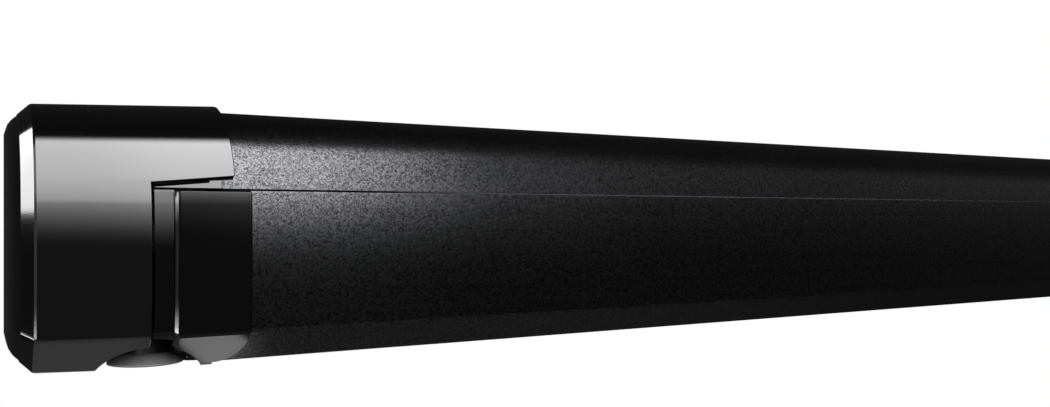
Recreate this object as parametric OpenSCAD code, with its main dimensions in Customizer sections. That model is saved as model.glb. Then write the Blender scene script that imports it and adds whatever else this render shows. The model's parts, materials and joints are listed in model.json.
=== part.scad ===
// Roll out awning for a camper: a cassette on the wall holds a cloth roller, two folding arms
// and a lead rail that closes the case and carries two telescopic support legs.
// X runs along the case, Y points to the wall, which is the plane Y = 0, and Z points up from mid height.

/* [Case] */
// Length over both end caps
awning_len = 2598; // [2300:10:3200]
// Height of the closed case
case_h = 130; // [128:1:140]
// Depth of the closed case from the wall to its front
case_d = 108; // [106:1:116]
// Radius of the long convex front
front_r = 300; // [220:10:600]
// Height of the foremost line of the front above mid height
front_bulge_z = -10; // [-20:1:0]
// Radius of the rounded upper front corner
corner_r = 55; // [48:1:58]
// Height of the bevel along the lower front edge
bevel_h = 17; // [12:1:20]
// Depth of the bevel along the lower front edge
bevel_d = 20; // [14:1:22]
// Rounding of the two bevel edges
bevel_round = 4; // [2:0.5:5]
// Wall of the housing and of the lead rail
wall = 2.2; // [1.6:0.1:2.6]
// Back wall of the housing
back_wall = 2.6; // [2:0.1:4]
// Height of the seam between housing and lead rail above mid height
seam_z = 22.4; // [18:0.2:26]
// Open seam between housing and lead rail
seam_gap = 0.8; // [0.4:0.1:1.5]
// Distance from the wall to the front edge of the housing floor
floor_d = 58; // [56:1:60]

/* [End caps] */
// Length of an end cap at its overhang
cap_len = 98; // [92:1:110]
// Length of an end cap in front of the lead rail
cap_front_len = 59.5; // [57:0.5:64]
// How far the inner edge of a cap stands proud of the housing
cap_proud = 3.2; // [2:0.1:4.5]
// How far the outer end of a cap lies below the housing surface
cap_sink = 0.6; // [0:0.1:2]
// Wall of the end caps
cap_wall = 2.6; // [2:0.1:3.2]
// Chamfer round the outer end
cap_chamfer = 5.8; // [3:0.2:7]
// Rounding of the two edges of that chamfer
chamfer_round = 1.2; // [0.6:0.1:2]
// Bulge of the outer end face
cap_dome = 5; // [1:0.5:7]
// Share of the cap's height by which the dome's rings draw in towards its middle
dome_narrow = 0.25; // [0.1:0.05:1]
// Height of the overhang edge above the seam at its root
overhang_low = 2.4; // [1.5:0.1:4]
// Height of the overhang edge above the seam at its tip
overhang_high = 6.2; // [4:0.1:8]
// Lap of the end caps over the housing
cap_lap = 6; // [4:0.5:9]
// Thickness of the end plates
plate_t = 6; // [4:0.5:8]
// Radius of the arch round the crank bell
arch_r = 27.5; // [24:0.5:28]
// Clearance between parts that seat in each other
seat_gap = 0.25; // [0.1:0.05:0.4]

/* [Roller and cloth] */
// Distance of the roller axis from the wall
roller_d = 40; // [38:0.5:42]
// Height of the roller axis above mid height
roller_z = 22; // [20:0.5:24]
// Outer radius of the roller tube
roller_r = 25; // [22:0.5:26]
// Wall of the roller tube
roller_wall = 1.5; // [1:0.1:2.5]
// Outer radius of the wound cloth
cloth_roll_r = 31; // [29:0.5:32]
// Thickness of the cloth as a solid
cloth_t = 0.6; // [0.4:0.1:1]
// Bare roller beside the cloth at each end
cloth_margin = 25; // [15:1:60]
// Radius of the bead in the hem
bead_r = 2.8; // [2:0.1:3]

/* [Gear and crank] */
// Teeth of the worm wheel
wheel_teeth = 25; // [25:1:25]
// Threads of the worm
worm_starts = 3; // [3:1:3]
// Module of the gear pair
gear_module = 2; // [1.9:0.05:2.05]
// Pitch radius of the worm
worm_r = 8.5; // [8:0.25:9]
// Face width of the worm wheel
wheel_w = 10; // [8:1:12]
// Length of the worm
worm_len = 28; // [24:1:30]
// Radius of the worm shaft
worm_shaft_r = 5; // [4:0.25:5.5]
// Radius of the roller drive shaft
drive_shaft_r = 8; // [7:0.5:9]
// Radius of the crank bell
bell_r = 18; // [16:0.5:20]
// Height of the crank bell with its hub
bell_h = 19; // [18:0.5:22]
// Height of the domed skirt of the crank bell
skirt_h = 8; // [6:0.5:9]
// Height of the upright rim of the skirt of the crank bell
skirt_rim = 1; // [0.5:0.25:2]
// How far the bell hangs below the case
bell_drop = -0.5; // [-2:0.5:2]
// Inner radius of the crank eye
eye_r = 4.2; // [3.5:0.1:4.6]
// Radius of the bar of the crank eye
eye_bar_r = 2; // [1.5:0.1:2.4]
// Running clearance of shafts and pins
run_gap = 0.06; // [0.02:0.01:0.1]

/* [Arms] */
// Distance of the folded elbows from the middle
elbow_x = 100; // [60:5:200]
// Distance of the shoulder pivots from the end of the housing
shoulder_inset = 47; // [45:1:60]
// Distance of the shoulder pivots from the wall
shoulder_d = 22; // [21:0.5:24]
// Height of the shoulder pivots above mid height
shoulder_z = -37; // [-39:0.5:-36]
// Step between the upper arm and the forearm when folded
fold_step = 24; // [23:0.5:25]
// Slope of the arm plane towards the front
arm_slope = 6; // [4:0.5:7]
// Width of the arm tubes
arm_w = 18; // [15:0.5:18]
// Height of the arm tubes
arm_h = 28; // [24:1:29]
// Wall of the arm tubes
arm_wall = 2; // [1.5:0.1:2.5]
// Corner radius of the arm tubes
arm_round = 4; // [2.5:0.5:6]
// Radius of the arm pins
arm_pin_r = 5; // [4:0.25:5.5]
// Radius of the eyes of the arm castings
arm_eye_r = 10.5; // [9:0.25:10.5]
// Thickness of the fork and bracket ears
ear_t = 3.2; // [2.5:0.1:3.6]
// Gap between an eye and the ears beside it
ear_gap = 0.4; // [0.3:0.05:0.6]

/* [Lead rail] */
// Distance of the rear wall of the lead rail from the wall
rail_back_d = 62; // [61:0.5:63]
// Width of the leg channel
channel_w = 20; // [19.6:0.2:20.4]
// Height of the leg channel
channel_h = 53; // [52.4:0.2:54]
// Height of the cloth groove below the seam
groove_drop = 9; // [8:0.5:11]
// Distance of the cloth groove behind the front
groove_back = 10; // [9.5:0.5:12]
// Radius of the cloth groove
groove_r = 3.6; // [3.2:0.1:4]
// How far a rail cap stands proud of the rail
rail_cap_proud = 1.6; // [1:0.1:2.4]
// How far the top of a rail cap lies below the top of the rail
rail_cap_drop = 0.8; // [0:0.1:1.5]
// How far the flange of a rail cap lies below the rail surface
rail_cap_sink = 1.4; // [0.8:0.1:2]
// Width of the flange of a rail cap
rail_flange_w = 10; // [8:0.5:12]
// Width of the raised band of a rail cap
rail_band_w = 35; // [30:1:40]
// How much flatter the raised band is than the case at its top edge
band_flat = 1.4; // [0:0.1:2]
// Edge break at the inner end of the raised band
band_edge = 0.6; // [0.3:0.1:0.9]
// Gap between the end cap and the rail cap
rail_cap_gap = 1.4; // [1:0.1:2]

/* [Legs] */
// Distance of the leg pivots from the end of the lead rail
leg_pivot_inset = 38.7; // [34:0.1:50]
// Width of the leg tube
leg_w = 18; // [16:0.2:18.4]
// Height of the leg tube
leg_h = 22; // [20:0.2:22.4]
// Corner radius of the leg tube
leg_round = 5; // [3:0.5:7]
// Wall of the leg tubes
leg_wall = 1.4; // [1.1:0.1:1.6]
// Distance of the outer leg tubes from the middle
leg_end_x = 114; // [110:2:200]
// How far the inner tube of a stowed leg stops short of the leg head
inner_short = 86; // [20:2:200]
// Sliding clearance of the leg tubes
leg_gap = 0.35; // [0.3:0.05:0.5]
// Height of one storage lane in the channel
lane_h = 26; // [25.8:0.1:26.4]
// Radius of the leg pins
leg_pin_r = 3; // [2.5:0.25:3.5]
// Length of the rubber foot
foot_len = 30; // [24:1:36]
// Radius of the release button
button_r = 3.5; // [3:0.25:4]

/* [Fasteners] */
// Bore of the screw ports in the profiles
port_r = 1.9; // [1.5:0.1:2.2]
// Wall of the screw ports
port_wall = 2.2; // [1.8:0.1:2.6]
// Head radius of the end screws
screw_head_r = 3.6; // [3:0.1:4]
// Depth of the countersunk heads of the end screws
screw_sink = 1.8; // [1.4:0.1:2]
// Radius of the bracket bolts
bolt_r = 3; // [2.5:0.25:3.5]
// Radius of the wall mounting holes
wall_hole_r = 3.3; // [2.6:0.1:4.3]
// Spacing of the two holes of a wall mount
wall_hole_pitch = 80; // [60:5:120]
// Distance of the outer wall mounts from the end of the housing
wall_mount_inset = 407; // [300:1:600]
// Height of the wall mounting holes above mid height
wall_hole_z = -14; // [-15:0.5:-12]

/* [Hidden] */
$fn = 48;

// Room past a face that a cut runs through
cut = 1;
// Larger than any section of the case
big = 400;

// Levels of the case
z_top = case_h / 2;
z_bot = -case_h / 2;

// Outline of the case section, worked out from arcs that run into each other
front_c = [front_r - case_d, front_bulge_z];
corner_z = z_top - corner_r;
corner_c = [front_c[0] - sqrt(pow(front_r - corner_r, 2) - pow(corner_z - front_bulge_z, 2)), corner_z];
corner_a = asin((corner_z - front_bulge_z) / (front_r - corner_r));
bevel_a = asin((z_bot + bevel_h - front_bulge_z) / front_r);
bevel_top = front_c + front_r * [-cos(bevel_a), sin(bevel_a)];
bevel_bot = [bevel_top[0] + bevel_d, z_bot];
front_n = [-cos(bevel_a), sin(bevel_a)];
bevel_n = unit([-bevel_h, -bevel_d]);
bottom_n = [0, -1];

// Stations along the length, as distances from the middle
end_x = awning_len / 2;
cap_in_x = end_x - cap_len;
cap_cut_x = end_x - cap_front_len;
housing_x = cap_in_x + cap_lap;
plate_x = housing_x + plate_t;
rail_cap_x = cap_cut_x - rail_cap_gap;
band_out_x = rail_cap_x - rail_flange_w;
band_in_x = band_out_x - rail_band_w;
gear_x = cap_cut_x - 2;
rail_plug_t = 2.2;
rail_plug_x = gear_x - arch_r - 0.6;
rail_x = rail_plug_x - rail_plug_t;

// Roller and gear pair
roller_inset = 12;
roller_c = [-roller_d, roller_z];
roller_x = housing_x - roller_inset;
cloth_w = 2 * (roller_x - cloth_margin);
wheel_r = gear_module * wheel_teeth / 2;
worm_y = -roller_d - wheel_r - worm_r;
tooth_pitch = PI * gear_module;
worm_lead = worm_starts * tooth_pitch;
bell_z = z_bot - bell_drop;
gear_clear = 1.4;
gearbox_wall = 3;
gearbox_out_x = gear_x + wheel_w / 2 + gear_clear + gearbox_wall;
shaft_top_z = roller_z + worm_len / 2 + 8;
hub_top = 4;
hub_r = eye_r + 2 * eye_bar_r + 3.2;

// Lead rail
rail_top_z = seam_z - seam_gap;
channel_back_y = -rail_back_d - wall;
channel_front_y = channel_back_y - channel_w;
channel_top_z = z_bot + channel_h;
groove_c = [-case_d + groove_back, rail_top_z - groove_drop];
groove_wall = 1.9;
shelf_w = 9;

// Point where the cloth leaves the underside of the roll
run_v = groove_c - roller_c;
run_a = atan2(run_v[1], run_v[0]) + acos((cloth_roll_r - cloth_t / 2) / norm(run_v));
run_start = roller_c + (cloth_roll_r - cloth_t / 2) * [cos(run_a), sin(run_a)];

// Arms, in a plane that slopes down to the front
shoulder_x = housing_x - shoulder_inset;
link_len = norm([shoulder_x - elbow_x, fold_step / 2]);
eye_h = arm_h;
ear_z = eye_h / 2 + ear_gap;
neck_len = 28;
plug_len = 40;
fork_web = 14;
ear_r = 10;
wrist_c = [-shoulder_d - fold_step * cos(arm_slope), shoulder_z - fold_step * sin(arm_slope)];

// Legs
leg_y = (channel_back_y + channel_front_y) / 2;
lane_low_z = z_bot + lane_h / 2;
lane_high_z = lane_low_z + lane_h;
leg_head_len = 16;
leg_pivot_x = rail_x - leg_pivot_inset;
leg_start_x = leg_pivot_x - leg_head_len;
head_plug_len = 36;
inner_start_x = leg_start_x - head_plug_len - inner_short;
collar_lap = 20;
collar_nose = 14;
collar_x = leg_end_x - collar_nose;
inner_w = leg_w - 2 * leg_wall - 2 * leg_gap;
inner_h = leg_h - 2 * leg_wall - 2 * leg_gap;
foot_gap = 8;
foot_x = collar_x - foot_gap;
foot_seat = 20;
inner_end_x = foot_x - foot_seat;
button_x = collar_x + collar_nose / 2;
button_proud = 1.6;
collar_w = channel_w - 0.8;
collar_h = lane_h - 1.4;

// Colours as the part shows them
coat = "#1c1c20";
plastic = "#111114";
cast = "#8d9094";
alloy = "#b9bcc0";
steel = "#9a9da1";
cloth = "#7d8288";
rubber = "#1a1a1a";
brass = "#b08d4a";

function unit(v) = v / norm(v);

// Points of an arc, given by the elevation of its outward direction above the front
function arc(c, r, a0, a1, n) =
    [for (i = [0:n]) let (a = a0 + (a1 - a0) * i / n) c + r * [-cos(a), sin(a)]];

// Points that round the corner b between a and c
function rounded(a, b, c, r, n = 4) =
    let (u = unit(a - b), w = unit(c - b), half = acos(u * w) / 2, o = b + unit(u + w) * r / sin(half))
    let (s = b + u * r / tan(half) - o, e = b + w * r / tan(half) - o)
    let (a0 = atan2(s[1], s[0]), turn = atan2(s[0] * e[1] - s[1] * e[0], s * e))
    [for (i = [0:n]) o + r * [cos(a0 + turn * i / n), sin(a0 + turn * i / n)]];

// Corner of two faces with the normals m and n, moved out with both faces by d
function moved(p, m, n, d) = p + d * (m + n) / (1 + m * n);

// Outline of the case section as [y, z] points, moved outwards by d
function section(d) =
    let (p2 = moved(bevel_bot, bevel_n, bottom_n, d), p1 = moved(bevel_top, front_n, bevel_n, d))
    let (a1 = asin((p1[1] - front_bulge_z) / (front_r + d)), up = p1 + 20 * [sin(a1), cos(a1)])
    let (a2 = a1 + bevel_round / front_r * 60)
    concat(
        [[0, z_bot - d]],
        rounded([0, z_bot - d], p2, p1, bevel_round),
        rounded(p2, p1, up, bevel_round),
        arc(front_c, front_r + d, a2, corner_a, 5),
        arc(corner_c, corner_r + d, corner_a + 6, 90, 13),
        [[0, z_top + d]]
    );

// Closed skin over rings of equal count, with a fan at its first ring
function loft_faces(rings, n) = concat(
    [for (k = [0:rings - 2]) for (i = [0:n - 1])
        let (a = k * n + i, b = k * n + (i + 1) % n) each [[a, b, a + n], [b, b + n, a + n]]],
    [[for (i = [0:n - 1]) n - 1 - i]],
    [[for (i = [0:n - 1]) (rings - 1) * n + i]]
);

// Stretches a flat shape drawn in y and z from one station to another along the length
module along_x(x0, x1) translate([x0, 0, 0]) rotate([90, 0, 90]) linear_extrude(x1 - x0) children();

module case_section(d) polygon(section(d));

// Rectangle between two distances from the wall and two levels
module field(y0, y1, z0, z1) translate([y0, z0]) square([y1 - y0, z1 - z0]);

// Rectangle with round corners made of true arcs
module soft_rect(w, h, r) {
    square([w - 2 * r, h], center = true);
    square([w, h - 2 * r], center = true);
    for (i = [-1, 1]) for (j = [-1, 1]) translate([i * (w / 2 - r), j * (h / 2 - r)]) circle(r);
}

// Depth of a screw port below the wall that carries it, and where the front one sits on the corner
port_inset = 0.6;
port_a = 62;

// Places of the screw ports in the housing section
function housing_ports() = [
    [-back_wall - port_r - port_inset, z_top - wall - port_r - port_inset],
    [-back_wall - port_r - port_inset, z_bot + wall + port_r + port_inset],
    corner_c + (corner_r - wall - port_r - port_inset) * [-cos(port_a), sin(port_a)],
];

// Places of the screw ports in the lead rail section
function rail_ports() = [
    [channel_front_y - wall - port_r - port_inset, channel_top_z - port_r - port_inset],
    [channel_front_y - wall - port_r - port_inset, z_bot + bevel_h - port_r],
];

// Screw ports along a profile of half the length x, and their bores
module port_bars(places, x) for (p = places) along_x(-x, x) translate(p) circle(port_r + port_wall);

module port_bores(places, x) for (p = places) along_x(-x - cut, x + cut) translate(p) circle(port_r);

// Room of the lead rail in the case section
module rail_room() field(-big, -floor_d, -big, seam_z);

// Skin of the case with its thicker back
module case_shell() {
    difference() {
        case_section(0);
        intersection() {
            case_section(-wall);
            field(-big, -back_wall, -big, big);
        }
    }
}

// Bores through the back wall, where the housing is bolted to the vehicle
module wall_holes() {
    mount_x = housing_x - wall_mount_inset;
    for (x = [-mount_x, 0, mount_x]) for (i = [-1, 1])
        translate([x + i * wall_hole_pitch / 2, cut, wall_hole_z]) rotate([90, 0, 0])
            cylinder(r = wall_hole_r, h = back_wall + 2 * cut);
}

module housing() {
    color(coat) difference() {
        union() {
            along_x(-housing_x, housing_x) case_shell();
            along_x(-housing_x, housing_x) field(-floor_d, -floor_d + wall, z_bot, z_bot + 2 * wall);
            port_bars(housing_ports(), housing_x);
        }
        along_x(-housing_x - cut, housing_x + cut) rail_room();
        port_bores(housing_ports(), housing_x);
        wall_holes();
        for (s = [-1, 1]) bolt_places(s) cylinder(r = bolt_r + run_gap, h = 4 * back_wall, center = true);
    }
}

cap_mid = [-case_d / 2, 0];
cap_rim = section(-cap_sink - cap_chamfer - chamfer_round / 2);

// Height of a ring of the dome for its share of the width
function dome_tall(s) = 1 - dome_narrow * (1 - s);

function cap_ring(x, d) = [for (p = section(d)) [x, p[0], p[1]]];

// Rings of an end cap from its domed end over its chamfer to its inner edge
cap_rings = concat(
    [for (s = [0.2, 0.5, 0.7, 0.85, 0.94, 1]) [for (p = cap_rim) let (q = p - cap_mid)
        [cap_dome * pow(s, 4), cap_mid[0] + s * q[0], cap_mid[1] + dome_tall(s) * q[1]]]],
    [
        cap_ring(cap_dome + chamfer_round / 3, -cap_sink - cap_chamfer + chamfer_round / 3),
        cap_ring(cap_dome + cap_chamfer - chamfer_round / 3, -cap_sink - chamfer_round / 3),
        cap_ring(cap_dome + cap_chamfer + chamfer_round / 2, -cap_sink),
        cap_ring(cap_len, cap_proud),
    ]
);

// Solid outer form of the left end cap
module cap_body() {
    n = len(cap_rim);
    translate([-end_x, 0, 0]) polyhedron([for (ring = cap_rings) each ring], loft_faces(len(cap_rings), n));
}

// Room in front of the cap for the lead rail, under the sloping edge of the overhang
module overhang_cut() {
    translate([0, -floor_d, 0]) rotate([90, 0, 0]) linear_extrude(big) polygon([
        [-cap_cut_x, -big],
        [-cap_in_x + cut, -big],
        [-cap_in_x + cut, seam_z + overhang_high],
        [-cap_cut_x, seam_z + overhang_low],
    ]);
}

module arch_cut() {
    translate([-gear_x, worm_y, z_bot - bell_drop - cut - 10])
        cylinder(r = arch_r, h = bell_drop + bevel_h + 11);
}

module end_cap() {
    difference() {
        cap_body();
        along_x(-end_x + cap_dome + cap_chamfer + cap_wall, -plate_x) intersection() {
            case_section(-cap_sink - cap_wall);
            field(-big, -cap_wall, -big, big);
        }
        along_x(-plate_x - seat_gap, -cap_in_x + cut) union() {
            case_section(seat_gap);
            field(-case_d / 2, cut, z_bot - seat_gap, z_top + seat_gap);
        }
        overhang_cut();
    }
}

module left_end_cap() {
    color(plastic) difference() {
        end_cap();
        arch_cut();
    }
}

module right_end_cap() color(plastic) mirror([1, 0, 0]) end_cap();

lip_t = 2.6;
lip_sink = cap_sink + cap_wall + seat_gap;
fascia_gap = 2;

// Strip that closes the slot below the overhang, flush with the rim of the end plate
module fascia() {
    intersection() {
        along_x(-rail_cap_x, -plate_x + cut) difference() {
            case_section(0);
            case_section(-lip_sink - lip_t);
        }
        along_x(-rail_cap_x, -plate_x + cut) field(-big, -case_d / 2, seam_z, seam_z + overhang_high);
        translate([0, 0, -fascia_gap]) overhang_cut();
    }
}

// Casting that closes the housing and carries the roller, with a lip below the overhang
module end_plate() {
    difference() {
        union() {
            fascia();
            along_x(-plate_x, -housing_x) difference() {
                case_section(0);
                rail_room();
            }
            along_x(-rail_cap_x, -plate_x) intersection() {
                difference() {
                    case_section(-lip_sink);
                    case_section(-lip_sink - lip_t);
                }
                field(-big, -case_d / 2, seam_z, seam_z + 18);
            }
            along_x(-plate_x, -housing_x + 8) translate(roller_c) circle(drive_shaft_r + 5);
        }
        for (p = housing_ports()) translate([-plate_x, p[0], p[1]]) screw_hole(plate_t);
    }
}

module left_end_plate() {
    color(cast) difference() {
        end_plate();
        along_x(-plate_x - cut, -housing_x + 10) translate(roller_c) circle(drive_shaft_r + run_gap);
    }
}

idle_pin_r = 6;
bush_t = 2;

module right_end_plate() {
    color(cast) mirror([1, 0, 0]) difference() {
        end_plate();
        along_x(-plate_x - cut, -housing_x + 10) translate(roller_c) circle(idle_pin_r + bush_t + run_gap);
    }
}

module idle_bush() {
    color(brass) along_x(housing_x - 8, plate_x) translate(roller_c) difference() {
        circle(idle_pin_r + bush_t);
        circle(idle_pin_r + run_gap);
    }
}

// Countersunk screw that points along +X from the face at the origin
module screw_x(len) {
    rotate([0, 90, 0]) {
        cylinder(r1 = screw_head_r, r2 = port_r - run_gap, h = screw_sink);
        cylinder(r = port_r - run_gap, h = len);
    }
}

// Hole with a countersink for such a screw
module screw_hole(len) {
    rotate([0, 90, 0]) {
        cylinder(r1 = screw_head_r + seat_gap, r2 = port_r + seat_gap, h = screw_sink);
        translate([0, 0, -cut]) cylinder(r = port_r + seat_gap, h = len + 2 * cut);
    }
}

module end_plate_screws() {
    color(steel) for (s = [0, 1]) mirror([s, 0, 0]) for (p = housing_ports())
        translate([-plate_x, p[0], p[1]]) screw_x(plate_t + 14);
}

// Gear casing on the outside of the left end plate, open towards the cap
module gearbox_case() {
    wheel_room = wheel_r + gear_module + gear_clear;
    worm_room = worm_r + gear_module + gear_clear;
    z_low = roller_z - worm_len / 2 - gear_clear;
    z_high = roller_z + worm_len / 2 + gear_clear;
    color(cast) difference() {
        union() {
            along_x(-gearbox_out_x, -plate_x) union() {
                translate(roller_c) circle(wheel_room + gearbox_wall);
                field(worm_y, -roller_d, z_low - gearbox_wall, z_high + gearbox_wall);
            }
            translate([-gear_x, worm_y, z_low - gearbox_wall])
                cylinder(r = worm_room + gearbox_wall, h = z_high - z_low + 2 * gearbox_wall);
        }
        along_x(-gearbox_out_x - cut, -gear_x + wheel_w / 2 + gear_clear)
            translate(roller_c) circle(wheel_room);
        translate([-gear_x, worm_y, z_low]) cylinder(r = worm_room, h = z_high - z_low);
        translate([-gear_x, worm_y, z_low - 2 * gearbox_wall])
            cylinder(r = worm_shaft_r + run_gap, h = z_high - z_low + 4 * gearbox_wall);
        along_x(-gear_x, -plate_x + cut) translate(roller_c) circle(drive_shaft_r + run_gap);
    }
}

// Rubber bulb behind the lip of the housing
module seam_seal() {
    seal_r = 1.8;
    r = corner_r - wall - seal_r - run_gap;
    a = asin((seam_z + seal_r - corner_z) / r);
    color(rubber) along_x(-housing_x, housing_x)
        translate(corner_c + r * [-cos(a), sin(a)]) circle(seal_r);
}

// Arms: drawn for the left arm in its own sloping plane, with -y pointing out
module arm_plane() translate([0, -shoulder_d, shoulder_z]) rotate([arm_slope, 0, 0]) children();

module mirrored(side) {
    if (side > 0) mirror([1, 0, 0]) children();
    else children();
}

module arm_tube(y) {
    translate([-shoulder_x + neck_len, y, 0]) rotate([90, 0, 90])
        linear_extrude(shoulder_x - elbow_x - 2 * neck_len) difference() {
            soft_rect(arm_w, arm_h, arm_round);
            soft_rect(arm_w - 2 * arm_wall, arm_h - 2 * arm_wall, arm_round - arm_wall / 2);
        }
}

// Plug of a casting inside an arm tube, from x over its length
module arm_plug(x, y) {
    w = arm_w - 2 * arm_wall - 2 * seat_gap;
    h = arm_h - 2 * arm_wall - 2 * seat_gap;
    translate([x, y, 0]) rotate([90, 0, 90]) linear_extrude(plug_len) soft_rect(w, h, arm_round);
}

// Casting with an eye at its pivot and a neck towards the tube at height y
module eye_casting(pivot, y, dir) {
    x_tube = pivot[0] + dir * neck_len;
    difference() {
        union() {
            translate([pivot[0], pivot[1], -eye_h / 2]) cylinder(r = arm_eye_r, h = eye_h);
            translate([min(pivot[0], x_tube), min(y - arm_w / 2, pivot[1] - arm_eye_r / 2), -eye_h / 2])
                cube([neck_len, max(arm_w, abs(pivot[1] - y) + arm_w / 2 + arm_eye_r / 2), eye_h]);
            arm_plug(dir > 0 ? x_tube : x_tube - plug_len, y);
        }
        translate([pivot[0], pivot[1], -big / 2]) cylinder(r = arm_pin_r + run_gap, h = big);
    }
}

shoulder_p = [-shoulder_x, 0];
elbow_p = [-elbow_x, -fold_step / 2];
wrist_p = [-shoulder_x, -fold_step];

module upper_arm(side) color(coat) mirrored(side) arm_plane() arm_tube(0);

module forearm(side) color(coat) mirrored(side) arm_plane() arm_tube(-fold_step);

module shoulder_eye(side) color(cast) mirrored(side) arm_plane() eye_casting(shoulder_p, 0, 1);

module wrist_eye(side) color(cast) mirrored(side) arm_plane() eye_casting(wrist_p, -fold_step, 1);

module elbow_eye(side) {
    color(cast) mirrored(side) arm_plane() difference() {
        union() {
            translate([elbow_p[0], elbow_p[1], -eye_h / 2]) cylinder(r = arm_eye_r, h = eye_h);
            translate([elbow_p[0] - neck_len, -fold_step - arm_w / 2, -eye_h / 2])
                cube([neck_len, arm_w, eye_h]);
            arm_plug(elbow_p[0] - neck_len - plug_len, -fold_step);
        }
        translate([elbow_p[0], elbow_p[1], -big / 2]) cylinder(r = arm_pin_r + run_gap, h = big);
    }
}

// Casting on the upper arm with two ears round the elbow pin
module elbow_fork(side) {
    color(cast) mirrored(side) arm_plane() difference() {
        union() {
            translate([elbow_p[0] - neck_len, -arm_w / 2, -ear_z - ear_t])
                cube([fork_web, arm_w, 2 * (ear_z + ear_t)]);
            for (z = [-ear_z - ear_t, ear_z]) translate([0, 0, z]) linear_extrude(ear_t) {
                translate(elbow_p) circle(arm_eye_r + 1);
                translate([elbow_p[0] - neck_len, -fold_step / 2 - arm_eye_r / 2])
                    square([neck_len, fold_step / 2 + arm_eye_r / 2 + arm_w / 2]);
            }
            arm_plug(elbow_p[0] - neck_len - plug_len, 0);
        }
        translate([elbow_p[0], elbow_p[1], -big / 2]) cylinder(r = arm_pin_r + run_gap, h = big);
    }
}

// Headed pin through two ears, standing at a pivot
module arm_pin(p) {
    head_t = 2.4;
    translate([p[0], p[1], -ear_z - ear_t - 1]) cylinder(r = arm_pin_r, h = 2 * (ear_z + ear_t) + 1);
    translate([p[0], p[1], ear_z + ear_t]) cylinder(r = arm_pin_r + 2.4, h = head_t);
}

module elbow_pin(side) color(steel) mirrored(side) arm_plane() arm_pin(elbow_p);

module shoulder_pins() color(steel) for (s = [-1, 1]) mirrored(s) arm_plane() arm_pin(shoulder_p);

module wrist_pins() color(steel) for (s = [-1, 1]) mirrored(s) arm_plane() arm_pin(wrist_p);

// Tension spring in the upper arm, with the rod that leads to the elbow
module arm_spring(side) {
    spring_r = 5.5;
    spring_len = 380;
    x0 = -shoulder_x + neck_len + plug_len;
    color(steel) mirrored(side) arm_plane() {
        translate([x0, 0, 0]) rotate([0, 90, 0]) cylinder(r = spring_r, h = spring_len);
        translate([x0 + spring_len, 0, 0]) rotate([0, 90, 0])
            cylinder(r = 1.5, h = -elbow_x - neck_len - plug_len - x0 - spring_len);
    }
}

bolt_x = 26;
bolt_z = 12;

// Places of the four bolts of a shoulder bracket, pointing out of the wall
module bolt_places(side) {
    mirrored(side) for (x = [-bolt_x, bolt_x]) for (z = [-bolt_z, bolt_z])
        translate([-shoulder_x + x, -back_wall, shoulder_z + z]) rotate([90, 0, 0]) children();
}

bracket_base_t = 4;
bracket_w = 68;
bracket_low = 18;
bracket_high = 20;

module shoulder_bracket(side) {
    foot_y = shoulder_d - back_wall;
    color(cast) difference() {
        union() {
            mirrored(side)
                translate([-shoulder_x - bracket_w / 2, -back_wall - bracket_base_t, shoulder_z - bracket_low])
                cube([bracket_w, bracket_base_t, bracket_low + bracket_high]);
            intersection() {
                mirrored(side) arm_plane() for (z = [-ear_z - ear_t, ear_z])
                    translate([0, 0, z]) linear_extrude(ear_t) {
                    translate(shoulder_p) circle(ear_r);
                    translate([shoulder_p[0] - ear_r, 0]) square([2 * ear_r, foot_y + 6]);
                }
                translate([-big * 10, -big - back_wall, -big / 2]) cube([big * 20, big, big]);
            }
        }
        mirrored(side) arm_plane() translate([shoulder_p[0], shoulder_p[1], -big / 2])
            cylinder(r = arm_pin_r + run_gap, h = big);
        bolt_places(side) cylinder(r = bolt_r + run_gap, h = 4 * bracket_base_t, center = true);
    }
}

module shoulder_bolts() {
    head_t = 3.2;
    color(steel) for (s = [-1, 1]) bolt_places(s) {
        translate([0, 0, -back_wall + 0.3]) cylinder(r = bolt_r, h = back_wall + bracket_base_t);
        translate([0, 0, bracket_base_t]) cylinder(r = bolt_r + 2.2, h = head_t, $fn = 6);
    }
}

// Roller
module roller_tube() {
    color(alloy) along_x(-roller_x, roller_x) translate(roller_c) difference() {
        circle(roller_r);
        circle(roller_r - roller_wall);
    }
}

// Wound cloth: a plain core whose outer layer winds out to the point where the cloth leaves
module cloth_roll() {
    steps = 72;
    core_r = roller_r + seat_gap;
    color(cloth) along_x(-cloth_w / 2, cloth_w / 2) translate(roller_c) difference() {
        polygon([for (i = [0:steps]) let (a = run_a + 360 * i / steps)
            (cloth_roll_r - cloth_t * i / steps) * [cos(a), sin(a)]]);
        circle(core_r);
    }
}

plug_flange = 3;
roller_plug_len = 50;

// Plug in an end of the roller tube, with a flange outside it
module plug_body() {
    out_x = roller_x + plug_flange;
    along_x(-out_x, -roller_x + roller_plug_len)
        translate(roller_c) circle(roller_r - roller_wall - seat_gap);
    along_x(-out_x, -roller_x) translate(roller_c) circle(roller_r + plug_flange);
}

module drive_plug() {
    color(cast) {
        plug_body();
        along_x(-gear_x - wheel_w / 2 - 2, -roller_x) translate(roller_c) circle(drive_shaft_r);
    }
}

module idle_plug() {
    color(cast) mirror([1, 0, 0]) {
        plug_body();
        along_x(-plate_x - 4, -roller_x) translate(roller_c) circle(idle_pin_r);
    }
}

// Flat outline of a gear whose teeth narrow from root to tip
function gear_outline(teeth, r, add, ded) = [for (i = [0:teeth - 1])
    each [for (k = [[-0.31, -ded], [-0.14, add], [0, add], [0.14, add], [0.31, -ded], [0.5, -ded]])
        let (a = (i + k[0]) * 360 / teeth) (r + k[1]) * [cos(a), sin(a)]]];

tooth_add = 0.85 * gear_module;
tooth_ded = 1.15 * gear_module;

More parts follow.
